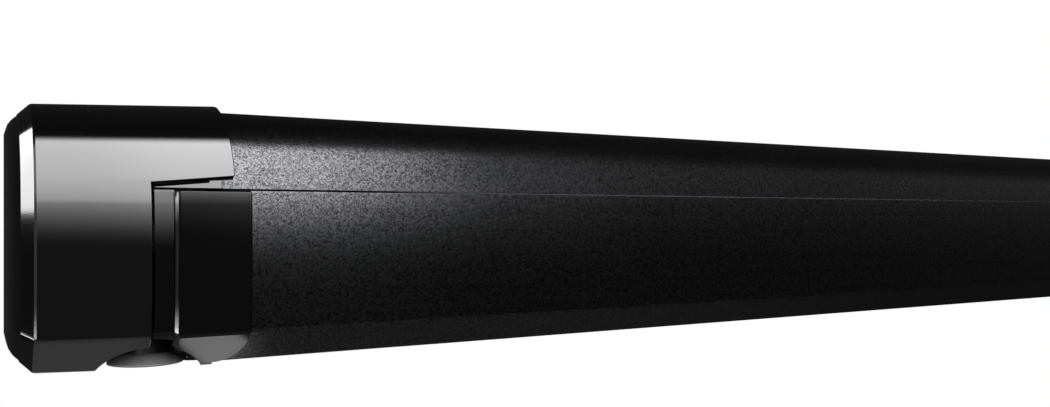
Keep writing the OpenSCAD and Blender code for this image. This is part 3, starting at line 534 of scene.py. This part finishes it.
class Workshop:
    """Turns nodes and meshes into dressed pieces that ride on their bodies."""

    weld = 0.002 * MM
    flat_angle = math.radians(0.4)
    crease_angle = 31.0
    round_steps = 4

    def __init__(self, record: dict[str, Any]) -> None:
        """Keeps which body each node belongs to."""
        self.body_of = {n: body for body, nodes in record["behaviour"]["bodies"].items() for n in nodes}

    @staticmethod
    def object_from(name: str, mesh: bpy.types.Mesh) -> bpy.types.Object:
        """Links a mesh as an object at the origin."""
        made = bpy.data.objects.new(name, mesh)
        bpy.context.scene.collection.objects.link(made)
        return made

    def copy_of(self, node: str, name: str) -> bpy.types.Object:
        """Welded copy of a node.

        Args:
            node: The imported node.
            name: Name of the copy.

        Returns:
            The copy, with its flat faces joined and curved ones smooth.
        """
        shell = bmesh.new()
        shell.from_mesh(frame["nodes"][node].data)
        bmesh.ops.remove_doubles(shell, verts=shell.verts, dist=self.weld)
        bmesh.ops.dissolve_degenerate(shell, dist=self.weld, edges=shell.edges)
        bmesh.ops.dissolve_limit(
            shell, angle_limit=self.flat_angle, verts=shell.verts, edges=shell.edges, delimit={"NORMAL"}
        )
        mesh = bpy.data.meshes.new(name)
        shell.to_mesh(mesh)
        shell.free()
        for layer in ("custom_normal", "sharp_edge", "sharp_face"):
            if layer in mesh.attributes:
                mesh.attributes.remove(mesh.attributes[layer])
        return self.object_from(name, mesh)

    @contextmanager
    def opened(self, piece: bpy.types.Object) -> Iterator[bmesh.types.BMesh]:
        """Opens a piece's mesh for changes, and puts them back into it."""
        shell = bmesh.new()
        shell.from_mesh(piece.data)
        yield shell
        shell.to_mesh(piece.data)
        shell.free()

    def round_over(
        self, piece: bpy.types.Object, radius: float, chosen: Callable[[Vector, Vector, Vector], bool]
    ) -> None:
        """Rounds chosen edges of a piece.

        Args:
            piece: The piece.
            radius: Width of the rounding, in metres.
            chosen: Says whether an edge is rounded, from its middle and the normals of its two faces, which
                it is given in both orders.
        """
        with self.opened(piece) as shell:
            edges = []
            for edge in shell.edges:
                if len(edge.link_faces) == 2:
                    first, second = (face.normal for face in edge.link_faces)
                    middle = (edge.verts[0].co + edge.verts[1].co) / 2
                    if chosen(middle, first, second) or chosen(middle, second, first):
                        edges.append(edge)
            bmesh.ops.bevel(
                shell,
                geom=edges,
                offset=radius,
                offset_type="OFFSET",
                segments=self.round_steps,
                profile=0.5,
                affect="EDGES",
                clamp_overlap=True,
            )

    def smooth(
        self, piece: bpy.types.Object, edge: float = 0.0, crease: float = crease_angle
    ) -> bpy.types.Object:
        """Smooths the curved faces of a piece.

        Args:
            piece: The piece.
            edge: Width of the break on its sharp edges, in metres.
            crease: Angle between faces, in degrees, above which an edge stays a crease.

        Returns:
            The piece.
        """
        piece.data.shade_smooth()
        piece.data.set_sharp_from_angle(angle=math.radians(crease))
        if edge > 0.0:
            bevel = piece.modifiers.new("edge break", "BEVEL")
            bevel.width = edge
            bevel.segments = 2
            bevel.limit_method = "ANGLE"
            bevel.angle_limit = math.radians(self.crease_angle)
            bevel.miter_outer = "MITER_ARC"
        even = piece.modifiers.new("even shading", "WEIGHTED_NORMAL")
        even.keep_sharp = True
        return piece

    def hand_over(
        self, piece: bpy.types.Object, finish: Finish, body: str, nodes: Iterable[str] = ()
    ) -> bpy.types.Object:
        """Gives a piece its finish and its body.

        Args:
            piece: The piece.
            finish: Its finish.
            body: Body that it moves with.
            nodes: Nodes that it stands for.

        Returns:
            The piece.
        """
        piece.data.materials.clear()
        piece.data.materials.append(finish.material())
        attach(piece, body)
        if nodes:
            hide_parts(*nodes)
        LOG.info("%s rides on %s in %s", piece.name, body, finish.slot)
        return piece

    def dress(self, node: str, finish: Finish, edge: float) -> bpy.types.Object:
        """Dressed copy that stands for a node.

        Args:
            node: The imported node.
            finish: Its finish.
            edge: Width of its edge break, in metres.

        Returns:
            The piece.
        """
        piece = self.smooth(self.copy_of(node, f"{node}_skin"), edge)
        return self.hand_over(piece, finish, self.body_of[node], [node])

    def islands(self, node: str) -> list[tuple[Vector, Vector]]:
        """Boxes of the separate solids of a node.

        Args:
            node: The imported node.

        Returns:
            Lowest and highest corner of each solid.
        """
        shell = bmesh.new()
        shell.from_mesh(frame["nodes"][node].data)
        bmesh.ops.remove_doubles(shell, verts=shell.verts, dist=self.weld)
        left = set(shell.verts)
        boxes = []
        while left:
            queue = [left.pop()]
            found = []
            while queue:
                vert = queue.pop()
                found.append(vert.co.copy())
                for edge in vert.link_edges:
                    other = edge.other_vert(vert)
                    if other in left:
                        left.remove(other)
                        queue.append(other)
            low = Vector(min(place[i] for place in found) for i in range(3))
            high = Vector(max(place[i] for place in found) for i in range(3))
            boxes.append((low, high))
        shell.free()
        return boxes


class Pattern(Graph):
    """Geometry Nodes tree with named sizes, run once and kept as a plain mesh."""

    def __init__(self, name: str, sizes: dict[str, float]) -> None:
        """Starts a tree.

        Args:
            name: Name of the tree and of the piece that it makes.
            sizes: Its inputs, in metres or as counts.
        """
        super().__init__(bpy.data.node_groups.new(name, "GeometryNodeTree"))
        self.name = name
        ports = self.tree.interface
        ports.new_socket("Geometry", in_out="INPUT", socket_type="NodeSocketGeometry")
        ports.new_socket("Geometry", in_out="OUTPUT", socket_type="NodeSocketGeometry")
        self.settings = {}
        for size, amount in sizes.items():
            port = ports.new_socket(size, in_out="INPUT", socket_type="NodeSocketFloat")
            self.settings[port.identifier] = amount
        self.given = self.tree.nodes.new("NodeGroupInput")

    def size(self, name: str) -> Value:
        """One of the named sizes."""
        return self.value(self.given, name)

    def ball(self, long: Value, thick: Value) -> bpy.types.NodeSocket:
        """Small bead, drawn out along X.

        Args:
            long: Half its length.
            thick: Half its thickness.

        Returns:
            The bead.
        """
        bead = self.node("GeometryNodeMeshUVSphere", {"Segments": 6, "Rings": 4, "Radius": 1.0})
        stretch = self.node("ShaderNodeCombineXYZ", {"X": long, "Y": thick, "Z": thick})
        sockets = {0: bead.outputs[0], "Scale": stretch.outputs[0]}
        return self.node("GeometryNodeTransform", sockets).outputs[0]

    def run(
        self, shape: bpy.types.NodeSocket, finish: Finish, points: Iterable[Vector] = ()
    ) -> bpy.types.Object:
        """Ends the tree and runs it.

        Args:
            shape: What the tree makes.
            finish: Its finish.
            points: Vertices that the tree is given.

        Returns:
            The piece, as a plain mesh without the tree.
        """
        solid = self.node("GeometryNodeRealizeInstances", {0: shape})
        sockets = {"Geometry": solid.outputs[0], "Material": finish.material()}
        painted = self.node("GeometryNodeSetMaterial", sockets)
        self.node("NodeGroupOutput", {0: painted.outputs[0]})
        start = bpy.data.meshes.new(self.name)
        start.from_pydata([tuple(p) for p in points], [], [])
        piece = Workshop.object_from(self.name, start)
        modifier = piece.modifiers.new(self.name, "NODES")
        modifier.node_group = self.tree
        for key, amount in self.settings.items():
            modifier[key] = amount
        ready = piece.evaluated_get(bpy.context.evaluated_depsgraph_get())
        made = bpy.data.meshes.new_from_object(ready)
        piece.modifiers.clear()
        piece.data = made
        made.name = self.name
        return piece


@dataclass
class SocketHeads:
    """Hexagon sockets in the heads of the screws of one body."""

    shop: Workshop
    node: str
    width: float = 1.5 * MM
    proud: float = 0.06 * MM

    def build(self) -> None:
        """Sets a socket on the outer face of every screw that points along the awning."""
        heads = []
        for low, high in self.shop.islands(self.node):
            middle = (low + high) / 2
            heads.append(Vector((low.x if middle.x < 0.0 else high.x, middle.y, middle.z)))
        pattern = Pattern(f"{self.node}_sockets", {"Width": self.width, "Proud": self.proud})
        sizes = {"Vertices": 6, "Radius": pattern.size("Width"), "Depth": pattern.size("Proud") * 2.0}
        socket = pattern.node("GeometryNodeMeshCylinder", sizes)
        sockets = {
            "Points": pattern.given.outputs[0],
            "Instance": socket.outputs[0],
            "Rotation": (0.0, math.pi / 2, 0.0),
        }
        placed = pattern.node("GeometryNodeInstanceOnPoints", sockets)
        piece = pattern.run(placed.outputs[0], SOCKET, heads)
        self.shop.hand_over(piece, SOCKET, self.shop.body_of[self.node])


@dataclass
class Cassette:
    """Case on the wall with its end caps, plates, gear casing and brackets."""

    shop: Workshop
    edge: float = 0.25 * MM
    lip_round: float = 2.0 * MM
    lip_depth: float = 98.0 * MM
    lip_slope: float = 0.6
    rear_depth: float = 70.0 * MM
    rear_slope: float = 0.3
    cap_crease: float = 15.0

    def end_cap(self, side: Side) -> None:
        """Dresses an end cap, with the front edges of its stepped opening and of its inner end rounded."""
        node = f"{side.value}_end_cap"
        rail_end = max(abs(corner.x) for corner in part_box(f"{side.value}_rail_cap"))

        def lip(middle: Vector, skin: Vector, cut: Vector) -> bool:
            """Whether an edge lies where the front skin ends at the stepped opening or at the case."""
            upright = cut.x * side.inward > FACING
            beside_rail = abs(middle.x) > rail_end
            step = middle.y < -self.lip_depth and skin.y < -self.lip_slope
            rear = middle.y < -self.rear_depth and skin.y < -self.rear_slope and middle.z > 0.0
            return (rear and upright) or (step and (cut.z < -FACING or (upright and beside_rail)))

        piece = self.shop.copy_of(node, f"{node}_skin")
        self.shop.round_over(piece, self.lip_round, lip)
        self.shop.smooth(piece, self.edge, self.cap_crease)
        self.shop.hand_over(piece, PLASTIC, self.shop.body_of[node], [node])

    def build(self) -> None:
        """Dresses every piece of the case."""
        self.shop.dress("housing", COAT, self.edge)
        for side in Side:
            self.end_cap(side)
            self.shop.dress(f"{side.value}_end_plate", PAINT, self.edge)
            self.shop.dress(f"{side.value}_shoulder_bracket", CAST, self.edge)
        self.shop.dress("gearbox_case", CAST, self.edge)
        self.shop.dress("idle_bush", BRONZE, self.edge)
        self.shop.dress("seam_seal", RUBBER, 0.0)
        for node in ("end_plate_screws", "shoulder_pins", "shoulder_bolts"):
            self.shop.dress(node, STEEL, self.edge)
        SocketHeads(self.shop, "end_plate_screws").build()


@dataclass
class Cloth:
    """Cloth wound on the roller and its short run to the lead rail."""

    shop: Workshop
    turns: int = 11
    steps: int = 60
    thickness: float = 0.35 * MM
    bead_r: float = 2.8 * MM
    hem: float = 14.0 * MM
    hem_seam: float = 8.68 * MM
    stitch: float = 4.0 * MM
    stitch_half: float = 1.44 * MM
    row_gap: float = 5.0 * MM
    thread_r: float = 0.32 * MM
    run_steps: int = 28

    def __post_init__(self) -> None:
        """Takes the places of the roll and of the groove from the frame."""
        core_low, core_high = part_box("roller_tube")
        roll_low, roll_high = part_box("cloth_roll")
        run_low, run_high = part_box("canopy")
        self.centre = (core_low + core_high) / 2
        self.core_r = (core_high.z - core_low.z) / 2
        self.roll_r = (roll_high.z - roll_low.z) / 2
        self.half_w = (roll_high.x - roll_low.x) / 2
        self.groove = Vector((0.0, run_low.y + self.bead_r, run_high.z - self.bead_r))
        run = Vector((self.groove.y - self.centre.y, self.groove.z - self.centre.z))
        self.outer_r = self.roll_r - self.thickness / 2
        self.leave = math.atan2(run.y, run.x) + math.acos(self.outer_r / run.length)

    def wound(self, turn: float) -> Vector:
        """Place on the winding, counted in turns inwards from where the cloth leaves the roll."""
        angle = self.leave + math.tau * turn
        inner = self.core_r + self.thickness
        radius = self.outer_r + (inner - self.outer_r) * turn / self.turns
        y = self.centre.y + radius * math.cos(angle)
        z = self.centre.z + radius * math.sin(angle)
        return Vector((0.0, y, z))

    def strip(self, name: str, line: list[Vector]) -> tuple[bpy.types.Object, float]:
        """Sheet over the cloth's width along a line.

        Args:
            name: Name of the piece.
            line: Places from the free end on, in the plane across the awning.

        Returns:
            The piece, with its map in metres, and the length of the line.
        """
        shell = bmesh.new()
        cut = shell.loops.layers.uv.new("cut")
        marks = [0.0]
        for a, b in zip(line, line[1:]):
            marks.append(marks[-1] + (b - a).length)
        rows = [[shell.verts.new((x, p.y, p.z)) for x in (-self.half_w, self.half_w)] for p in line]
        for i in range(len(rows) - 1):
            corners = [(i, 0), (i, 1), (i + 1, 1), (i + 1, 0)]
            face = shell.faces.new([rows[row][edge] for row, edge in corners])
            face.smooth = True
            for loop, (row, edge) in zip(face.loops, corners):
                loop[cut].uv = (edge * 2 * self.half_w, marks[row])
        mesh = bpy.data.meshes.new(name)
        shell.to_mesh(mesh)
        shell.free()
        piece = self.shop.object_from(name, mesh)
        thick = piece.modifiers.new("thickness", "SOLIDIFY")
        thick.thickness = self.thickness
        thick.offset = 0.0
        return piece, marks[-1]

    def stitches(self, along: Vector) -> None:
        """Sews two rows of stitches across the hem, near the groove of the lead rail.

        Args:
            along: Direction of the run from the roll to the groove.
        """
        pattern = Pattern(
            "hem_stitches",
            {
                "Width": 2 * self.half_w - self.stitch,
                "Row gap": self.row_gap,
                "Stitch": self.stitch_half,
                "Thread": self.thread_r,
                "Count": round(2 * self.half_w / self.stitch),
            },
        )
        grid = pattern.node(
            "GeometryNodeMeshGrid",
            {
                "Size X": pattern.size("Width"),
                "Size Y": pattern.size("Row gap"),
                "Vertices X": pattern.size("Count"),
                "Vertices Y": 2,
            },
        )
        bead = pattern.ball(pattern.size("Stitch"), pattern.size("Thread"))
        rows = pattern.node("GeometryNodeInstanceOnPoints", {"Points": grid.outputs[0], "Instance": bead})
        middle = self.groove - along * self.hem_seam
        tilt = (math.atan2(along.z, along.y), 0.0, 0.0)
        sockets = {0: rows.outputs[0], "Translation": tuple(middle), "Rotation": tilt}
        laid = pattern.node("GeometryNodeTransform", sockets)
        piece = self.shop.smooth(pattern.run(laid.outputs[0], THREAD))
        self.shop.hand_over(piece, THREAD, "canopy")

    def build(self) -> None:
        """Makes the wound cloth and its run."""
        winding = [self.wound(i / self.steps) for i in range(self.turns * self.steps + 1)]
        roll, roll_len = self.strip("cloth_winding", winding)
        self.shop.hand_over(roll, CLOTH, "roller", ["cloth_roll"])
        start = self.wound(0.0)
        span = self.groove - start
        along = span.normalized()
        line = [start + span * (i / self.run_steps) for i in range(self.run_steps + 1)]
        run, _ = self.strip("cloth_run", line)
        run.data.materials.append(CLOTH.material())
        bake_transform(run)
        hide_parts("canopy")
        self.stitches(along)


@dataclass
class Roller:
    """Tube that carries the cloth, with its plugs and worm wheel."""

    shop: Workshop
    edge: float = 0.25 * MM

    def build(self) -> None:
        """Dresses every piece of the roller."""
        self.shop.dress("roller_tube", DRAWN, 0.0)
        self.shop.dress("drive_plug", CAST, self.edge)
        self.shop.dress("idle_plug", CAST, self.edge)
        self.shop.dress("worm_wheel", BRONZE, 0.0)


@dataclass
class CrankDrive:
    """Worm, bell and eye that the crank rod turns."""

    shop: Workshop
    edge: float = 0.25 * MM

    def build(self) -> None:
        """Dresses every piece of the drive."""
        self.shop.dress("worm_shaft", STEEL, 0.0)
        self.shop.dress("crank_bell", BELL, self.edge)
        self.shop.dress("crank_eye", STEEL, 0.0)


@dataclass
class FoldingArm:
    """One sprung arm between the case and the lead rail."""

    shop: Workshop
    side: Side
    edge: float = 0.3 * MM
    coil_len: float = 380.0 * MM
    coil_turns: int = 150
    coil_steps: int = 14
    wire_r: float = 1.0 * MM
    wire_sides: int = 6
    rod_r: float = 1.5 * MM
    rod_sides: int = 16

    def spring(self) -> None:
        """Winds the spring at the shoulder's end of the upper arm and draws the rod that it pulls."""
        node = f"{self.side.value}_arm_spring"
        low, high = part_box(node)
        middle = (low + high) / 2
        shoulder = low.x if self.side is Side.LEFT else high.x
        reach = high.x - low.x
        pattern = Pattern(
            f"{node}_coil",
            {
                "Radius": (high.z - low.z) / 2 - self.wire_r,
                "Length": self.coil_len,
                "Turns": self.coil_turns,
                "Wire": self.wire_r,
                "Rod": self.rod_r,
                "Rod length": reach - self.coil_len,
            },
        )
        radius = pattern.size("Radius")
        helix = pattern.node(
            "GeometryNodeCurveSpiral",
            {
                "Resolution": self.coil_steps,
                "Rotations": pattern.size("Turns"),
                "Start Radius": radius,
                "End Radius": radius,
                "Height": pattern.size("Length"),
            },
        )
        ring = {"Resolution": self.wire_sides, "Radius": pattern.size("Wire")}
        wire = pattern.node("GeometryNodeCurvePrimitiveCircle", ring)
        sockets = {"Curve": helix.outputs[0], "Profile Curve": wire.outputs[0], "Fill Caps": True}
        coil = pattern.node("GeometryNodeCurveToMesh", sockets)
        rod = pattern.node(
            "GeometryNodeMeshCylinder",
            {"Vertices": self.rod_sides, "Radius": pattern.size("Rod"), "Depth": pattern.size("Rod length")},
        )
        turn = (0.0, math.pi / 2, 0.0)
        start = shoulder if self.side is Side.LEFT else shoulder - self.coil_len
        rod_x = shoulder + self.side.inward * (self.coil_len + (reach - self.coil_len) / 2)
        parts = pattern.node("GeometryNodeJoinGeometry")
        for shape, x in ((coil, start), (rod, rod_x)):
            place = {0: shape.outputs[0], "Translation": (x, middle.y, middle.z), "Rotation": turn}
            laid = pattern.node("GeometryNodeTransform", place)
            pattern.tree.links.new(laid.outputs[0], parts.inputs[0])
        piece = self.shop.smooth(pattern.run(parts.outputs[0], STEEL))
        self.shop.hand_over(piece, STEEL, self.shop.body_of[node], [node])

    def build(self) -> None:
        """Dresses every piece of the arm."""
        name = self.side.value
        for node in ("upper_arm", "forearm"):
            self.shop.dress(f"{name}_{node}", COAT, self.edge)
        for node in ("shoulder_eye", "elbow_fork", "elbow_eye", "wrist_eye"):
            self.shop.dress(f"{name}_{node}", CAST, self.edge)
        self.shop.dress(f"{name}_elbow_pin", STEEL, self.edge)
        self.spring()


@dataclass
class LeadRail:
    """Front profile with its caps, wrist brackets and fasteners."""

    shop: Workshop
    edge: float = 0.25 * MM
    flange: float = 10.0 * MM
    tongue: float = 1.4 * MM
    tongue_root: float = 1.4 / 3 * MM
    tongue_lean: float = 1 / 3
    tongue_front: float = -104.6 * MM
    tongue_depth: float = 2.5 * MM
    step: float = 1.0 * MM
    step_run: float = 0.3 * MM
    seam_round: float = 0.4 * MM
    rim: tuple[tuple[float, float, float], ...] = (
        (10.0 * MM, 8.9 * MM, 0.0),
        (10.4 * MM, 8.9 * MM, -0.5 * MM),
        (11.5 * MM, 10.1 * MM, 0.05 * MM),
        (13.0 * MM, 11.3 * MM, 0.0),
    )
    """Insets of the rings round a cap's rim as packed, as dressed, and how far each is moved back."""
    rim_near: float = 0.15 * MM
    rim_front: float = -95.0 * MM

    def profile(self) -> None:
        """Dresses the rail, whose top edge is rounded, and stepped down beneath the shells of its caps."""
        piece = self.shop.copy_of("lead_rail", "lead_rail_skin")
        shell_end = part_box("right_rail_cap")[0].x
        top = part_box("lead_rail")[1].z

        def seam(middle: Vector, skin: Vector, cut: Vector) -> bool:
            """Whether an edge lies where the front skin ends at the seam."""
            return middle.z > top - self.edge and skin.y < -FACING and cut.z > FACING

        with self.shop.opened(piece) as shell:
            for x in (shell_end, shell_end + self.step_run, -shell_end, -shell_end - self.step_run):
                bmesh.ops.bisect_plane(
                    shell,
                    geom=shell.verts[:] + shell.edges[:] + shell.faces[:],
                    plane_co=(x, 0.0, 0.0),
                    plane_no=(1.0, 0.0, 0.0),
                )
            for vert in shell.verts:
                if abs(vert.co.x) > shell_end + self.step_run / 2 and vert.co.z > top - self.step / 2:
                    vert.co.z -= self.step
        self.shop.round_over(piece, self.seam_round, seam)
        self.shop.smooth(piece, self.edge)
        self.shop.hand_over(piece, COAT, self.shop.body_of["lead_rail"], ["lead_rail"])

    def cap(self, side: Side) -> None:
        """Dresses a rail cap, with a tongue on its flange that closes the slit below the lip of the case."""
        node = f"{side.value}_rail_cap"
        low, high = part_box(node)
        piece = self.shop.copy_of(node, f"{node}_skin")
        ends = (low.x, low.x + self.flange) if side is Side.LEFT else (high.x - self.flange, high.x)
        with self.shop.opened(piece) as shell:
            corners = []
            for rise in (-self.tongue_root, self.tongue):
                front = self.tongue_front + rise * self.tongue_lean
                for x in ends:
                    for y in (front, front + self.tongue_depth):
                        corners.append(shell.verts.new((x, y, high.z + rise)))
            for vert in shell.verts:
                inset = vert.co.x - low.x if side is Side.LEFT else high.x - vert.co.x
                packed, dressed, back = min(self.rim, key=lambda ring: abs(ring[0] - inset))
                if abs(packed - inset) < self.rim_near and vert.co.y < self.rim_front:
                    vert.co.x += (dressed - packed) * side.inward
                    vert.co.y += back
            bmesh.ops.convex_hull(shell, input=corners)
        self.shop.smooth(piece, self.edge)
        self.shop.hand_over(piece, SHELL, self.shop.body_of[node], [node])

    def build(self) -> None:
        """Dresses every piece of the rail."""
        self.profile()
        for side in Side:
            self.cap(side)
            self.shop.dress(f"{side.value}_wrist_bracket", CAST, self.edge)
        for node in ("rail_cap_screws", "wrist_pins", "wrist_bolts", "leg_pins"):
            self.shop.dress(node, STEEL, self.edge)
        SocketHeads(self.shop, "rail_cap_screws").build()


@dataclass
class Leg:
    """One telescopic leg that lies in the lead rail."""

    shop: Workshop
    side: Side
    edge: float = 0.25 * MM

    def build(self) -> None:
        """Dresses every piece of the leg."""
        name = self.side.value
        self.shop.dress(f"{name}_leg_tube", DRAWN, 0.0)
        self.shop.dress(f"{name}_leg_inner", DRAWN, 0.0)
        self.shop.dress(f"{name}_leg_head", PLASTIC, self.edge)
        self.shop.dress(f"{name}_leg_collar", PLASTIC, self.edge)
        self.shop.dress(f"{name}_leg_button", BUTTON, self.edge)
        self.shop.dress(f"{name}_foot", RUBBER, self.edge)


@dataclass(frozen=True)
class Softbox:
    """Rectangular lamp: its middle, the point it faces, its size, its brightness and its roll in degrees."""

    name: str
    place: Point
    aim: Point
    size: Span
    radiance: float
    turn: float = 0.0

    def hang(self) -> None:
        """Links the lamp; its power follows from its brightness and area."""
        data = bpy.data.lights.new(self.name, "AREA")
        data.shape = "RECTANGLE"
        data.size, data.size_y = self.size
        data.energy = self.radiance * math.pi * self.size[0] * self.size[1]
        lamp = bpy.data.objects.new(self.name, data)
        lamp.location = self.place
        facing = (Vector(self.aim) - Vector(self.place)).to_track_quat("-Z", "Y")
        lamp.rotation_euler = (facing @ Quaternion((0.0, 0.0, 1.0), math.radians(self.turn))).to_euler()
        bpy.context.scene.collection.objects.link(lamp)


@dataclass(frozen=True)
class SidePanel:
    """Soft panel at the left of the room.

    Its slope is how far its directions lie towards the wall for each step to the left, and its lean is how
    much it climbs with that slope.
    """

    brightness: float
    slope: Marks
    height: Optional[Marks] = None
    lean: float = 0.0

    def light(self, slope: Value, z: Value) -> Value:
        """Its light in a direction.

        Args:
            slope: Slope of the direction.
            z: Height of the direction.

        Returns:
            The brightness.
        """
        shape = slope.within(self.slope)
        if self.height:
            shape = shape * (z - slope.above(0.0) * self.lean).within(self.height)
        return shape * self.brightness


@dataclass
class Studio:
    """Camera, lamps and surroundings, whose marks are parts of a direction of length one."""

    eye: Point = (-1.3107, -0.5715, 0.0084)
    heading: float = math.radians(59.33)
    lens: float = 31.72
    lift: float = 0.01305
    key_fade: tuple[Span, ...] = (
        (0.0, 0.004),
        (0.045, 0.045),
        (0.11, 0.18),
        (0.225, 0.60),
        (0.44, 0.78),
        (0.62, 0.90),
        (0.77, 0.96),
        (0.92, 1.0),
    )
    key_tilt: float = 0.14
    key_drop: float = 0.028
    key_front: Span = (-0.06, -0.22)
    key_right: Span = (0.48, 0.22)
    key_right_least: float = 0.02
    key_left: Span = (-0.40, -0.12)
    key_left_least: float = 0.25
    key_step: Span = (0.0, 0.12)
    key_bright: Span = (4.45, 5.35)
    slope_side: Span = (-0.1, -0.3)
    slope_least: float = 0.001
    panel_side: Span = (-0.30, -0.36)
    panels: tuple[SidePanel, ...] = (
        SidePanel(6.5, (-0.24, -0.16, 0.86, 0.92), (0.076, 0.083, 0.45, 0.50), 0.33),
        SidePanel(8.5, (-1.05, -0.95, -0.58, -0.50), (0.03, 0.125, 0.13, 0.16)),
        SidePanel(0.25, (-1.60, -1.40, -0.70, -0.55)),
        SidePanel(14.0, (-2.30, -2.10, -1.20, -1.05), (-0.42, -0.38, -0.36, -0.22)),
        SidePanel(5.0, (-0.20, -0.14, 0.14, 0.20), (-0.38, -0.34, -0.28, -0.24)),
    )
    behind_x: Marks = (-0.3, -0.1, 0.35, 0.45)
    behind_y: Span = (0.4, 0.6)
    behind_z: Marks = (-0.75, -0.6, -0.3, -0.2)
    behind_bright: float = 0.8
    under_x: Span = (0.13, 0.08)
    under_z: Span = (-0.5, -0.95)
    under_bright: Span = (0.07, 0.18)
    front_y: Span = (0.1, -0.3)
    room_bright: float = 0.018
    boxes: tuple[Softbox, ...] = (
        Softbox("low_card", (-1.1425, -0.0105, -0.36), (-1.1425, -0.0105, 0.0), (0.038, 0.053), 1.35, 45.0),
        Softbox("right_card", (1.95, 0.5, 0.45), (1.29, -0.05, 0.0), (0.5, 0.5), 2.0),
    )

    def camera(self) -> None:
        """Level camera close to the left end, as the photograph was taken."""
        data = bpy.data.cameras.new("camera")
        data.sensor_width = 36.0
        data.sensor_fit = "HORIZONTAL"
        data.lens = self.lens
        data.shift_y = self.lift
        data.clip_start = 0.01
        made = bpy.data.objects.new("camera", data)
        made.location = self.eye
        made.rotation_euler = (math.pi / 2, 0.0, self.heading - math.pi / 2)
        bpy.context.scene.collection.objects.link(made)
        bpy.context.scene.camera = made

    def key(self, shader: Shader, x: Value, y: Value, z: Value) -> Value:
        """Broad light in front, which fades downwards and to both sides.

        Args:
            shader: Tree of the surroundings.
            x: Part of a direction along the awning.
            y: Its part towards the wall.
            z: Its part upwards.

        Returns:
            The brightness in that direction.
        """
        tilted = z + x * self.key_tilt - self.key_drop
        glow = shader.value(shader.node("ShaderNodeValToRGB", {"Fac": tilted}, {"stops": self.key_fade}))
        right = x.rise(*self.key_right).spread(self.key_right_least, 1.0)
        left = x.rise(*self.key_left).spread(self.key_left_least, 1.0)
        bright = x.rise(*self.key_step).spread(*self.key_bright)
        return glow * y.rise(*self.key_front) * right * left * bright

    def surroundings(self) -> None:
        """White to the camera; to reflections a dark room with soft panels in set directions."""
        world = bpy.data.worlds.new("studio")
        bpy.context.scene.world = world
        world.use_nodes = True
        shader = Shader(world.node_tree)
        direction = shader.node("ShaderNodeTexCoord").outputs["Generated"]
        axes = shader.node("ShaderNodeSeparateXYZ", {0: direction})
        x, y, z = (shader.value(axes, i) for i in range(3))
        slope = y / (x.rise(*self.slope_side) * x - self.slope_least) * -1.0
        left = x.rise(*self.panel_side)
        room = self.key(shader, x, y, z)
        for panel in self.panels:
            room = room + left * panel.light(slope, z)
        behind = x.within(self.behind_x) * y.rise(*self.behind_y) * z.within(self.behind_z)
        under = z.rise(*self.under_z) * x.rise(*self.under_x).spread(*self.under_bright)
        front = y.rise(*self.front_y) * self.room_bright
        room = room + behind * self.behind_bright + under + front + self.room_bright
        path = shader.node("ShaderNodeLightPath")
        seen = (shader.value(path, "Is Camera Ray") + shader.value(path, "Is Transmission Ray")).clamped()
        light = seen + (1.0 - seen) * room
        back = shader.node("ShaderNodeBackground", {"Color": (1.0, 1.0, 1.0, 1.0), "Strength": light})
        shader.node("ShaderNodeOutputWorld", {"Surface": back.outputs[0]})

    def build(self) -> None:
        """Sets the stage."""
        self.camera()
        self.surroundings()
        for box in self.boxes:
            box.hang()
        bpy.context.scene.view_settings.view_transform = "Standard"


def main() -> None:
    """Builds the awning's pieces in order, then the studio."""
    logging.basicConfig(level=logging.INFO, format="%(message)s")
    shop = Workshop(frame["record"])
    Cassette(shop).build()
    Roller(shop).build()
    Cloth(shop).build()
    CrankDrive(shop).build()
    LeadRail(shop).build()
    for side in Side:
        FoldingArm(shop, side).build()
        Leg(shop, side).build()
    Studio().build()


if __name__ == "__main__":
    main()
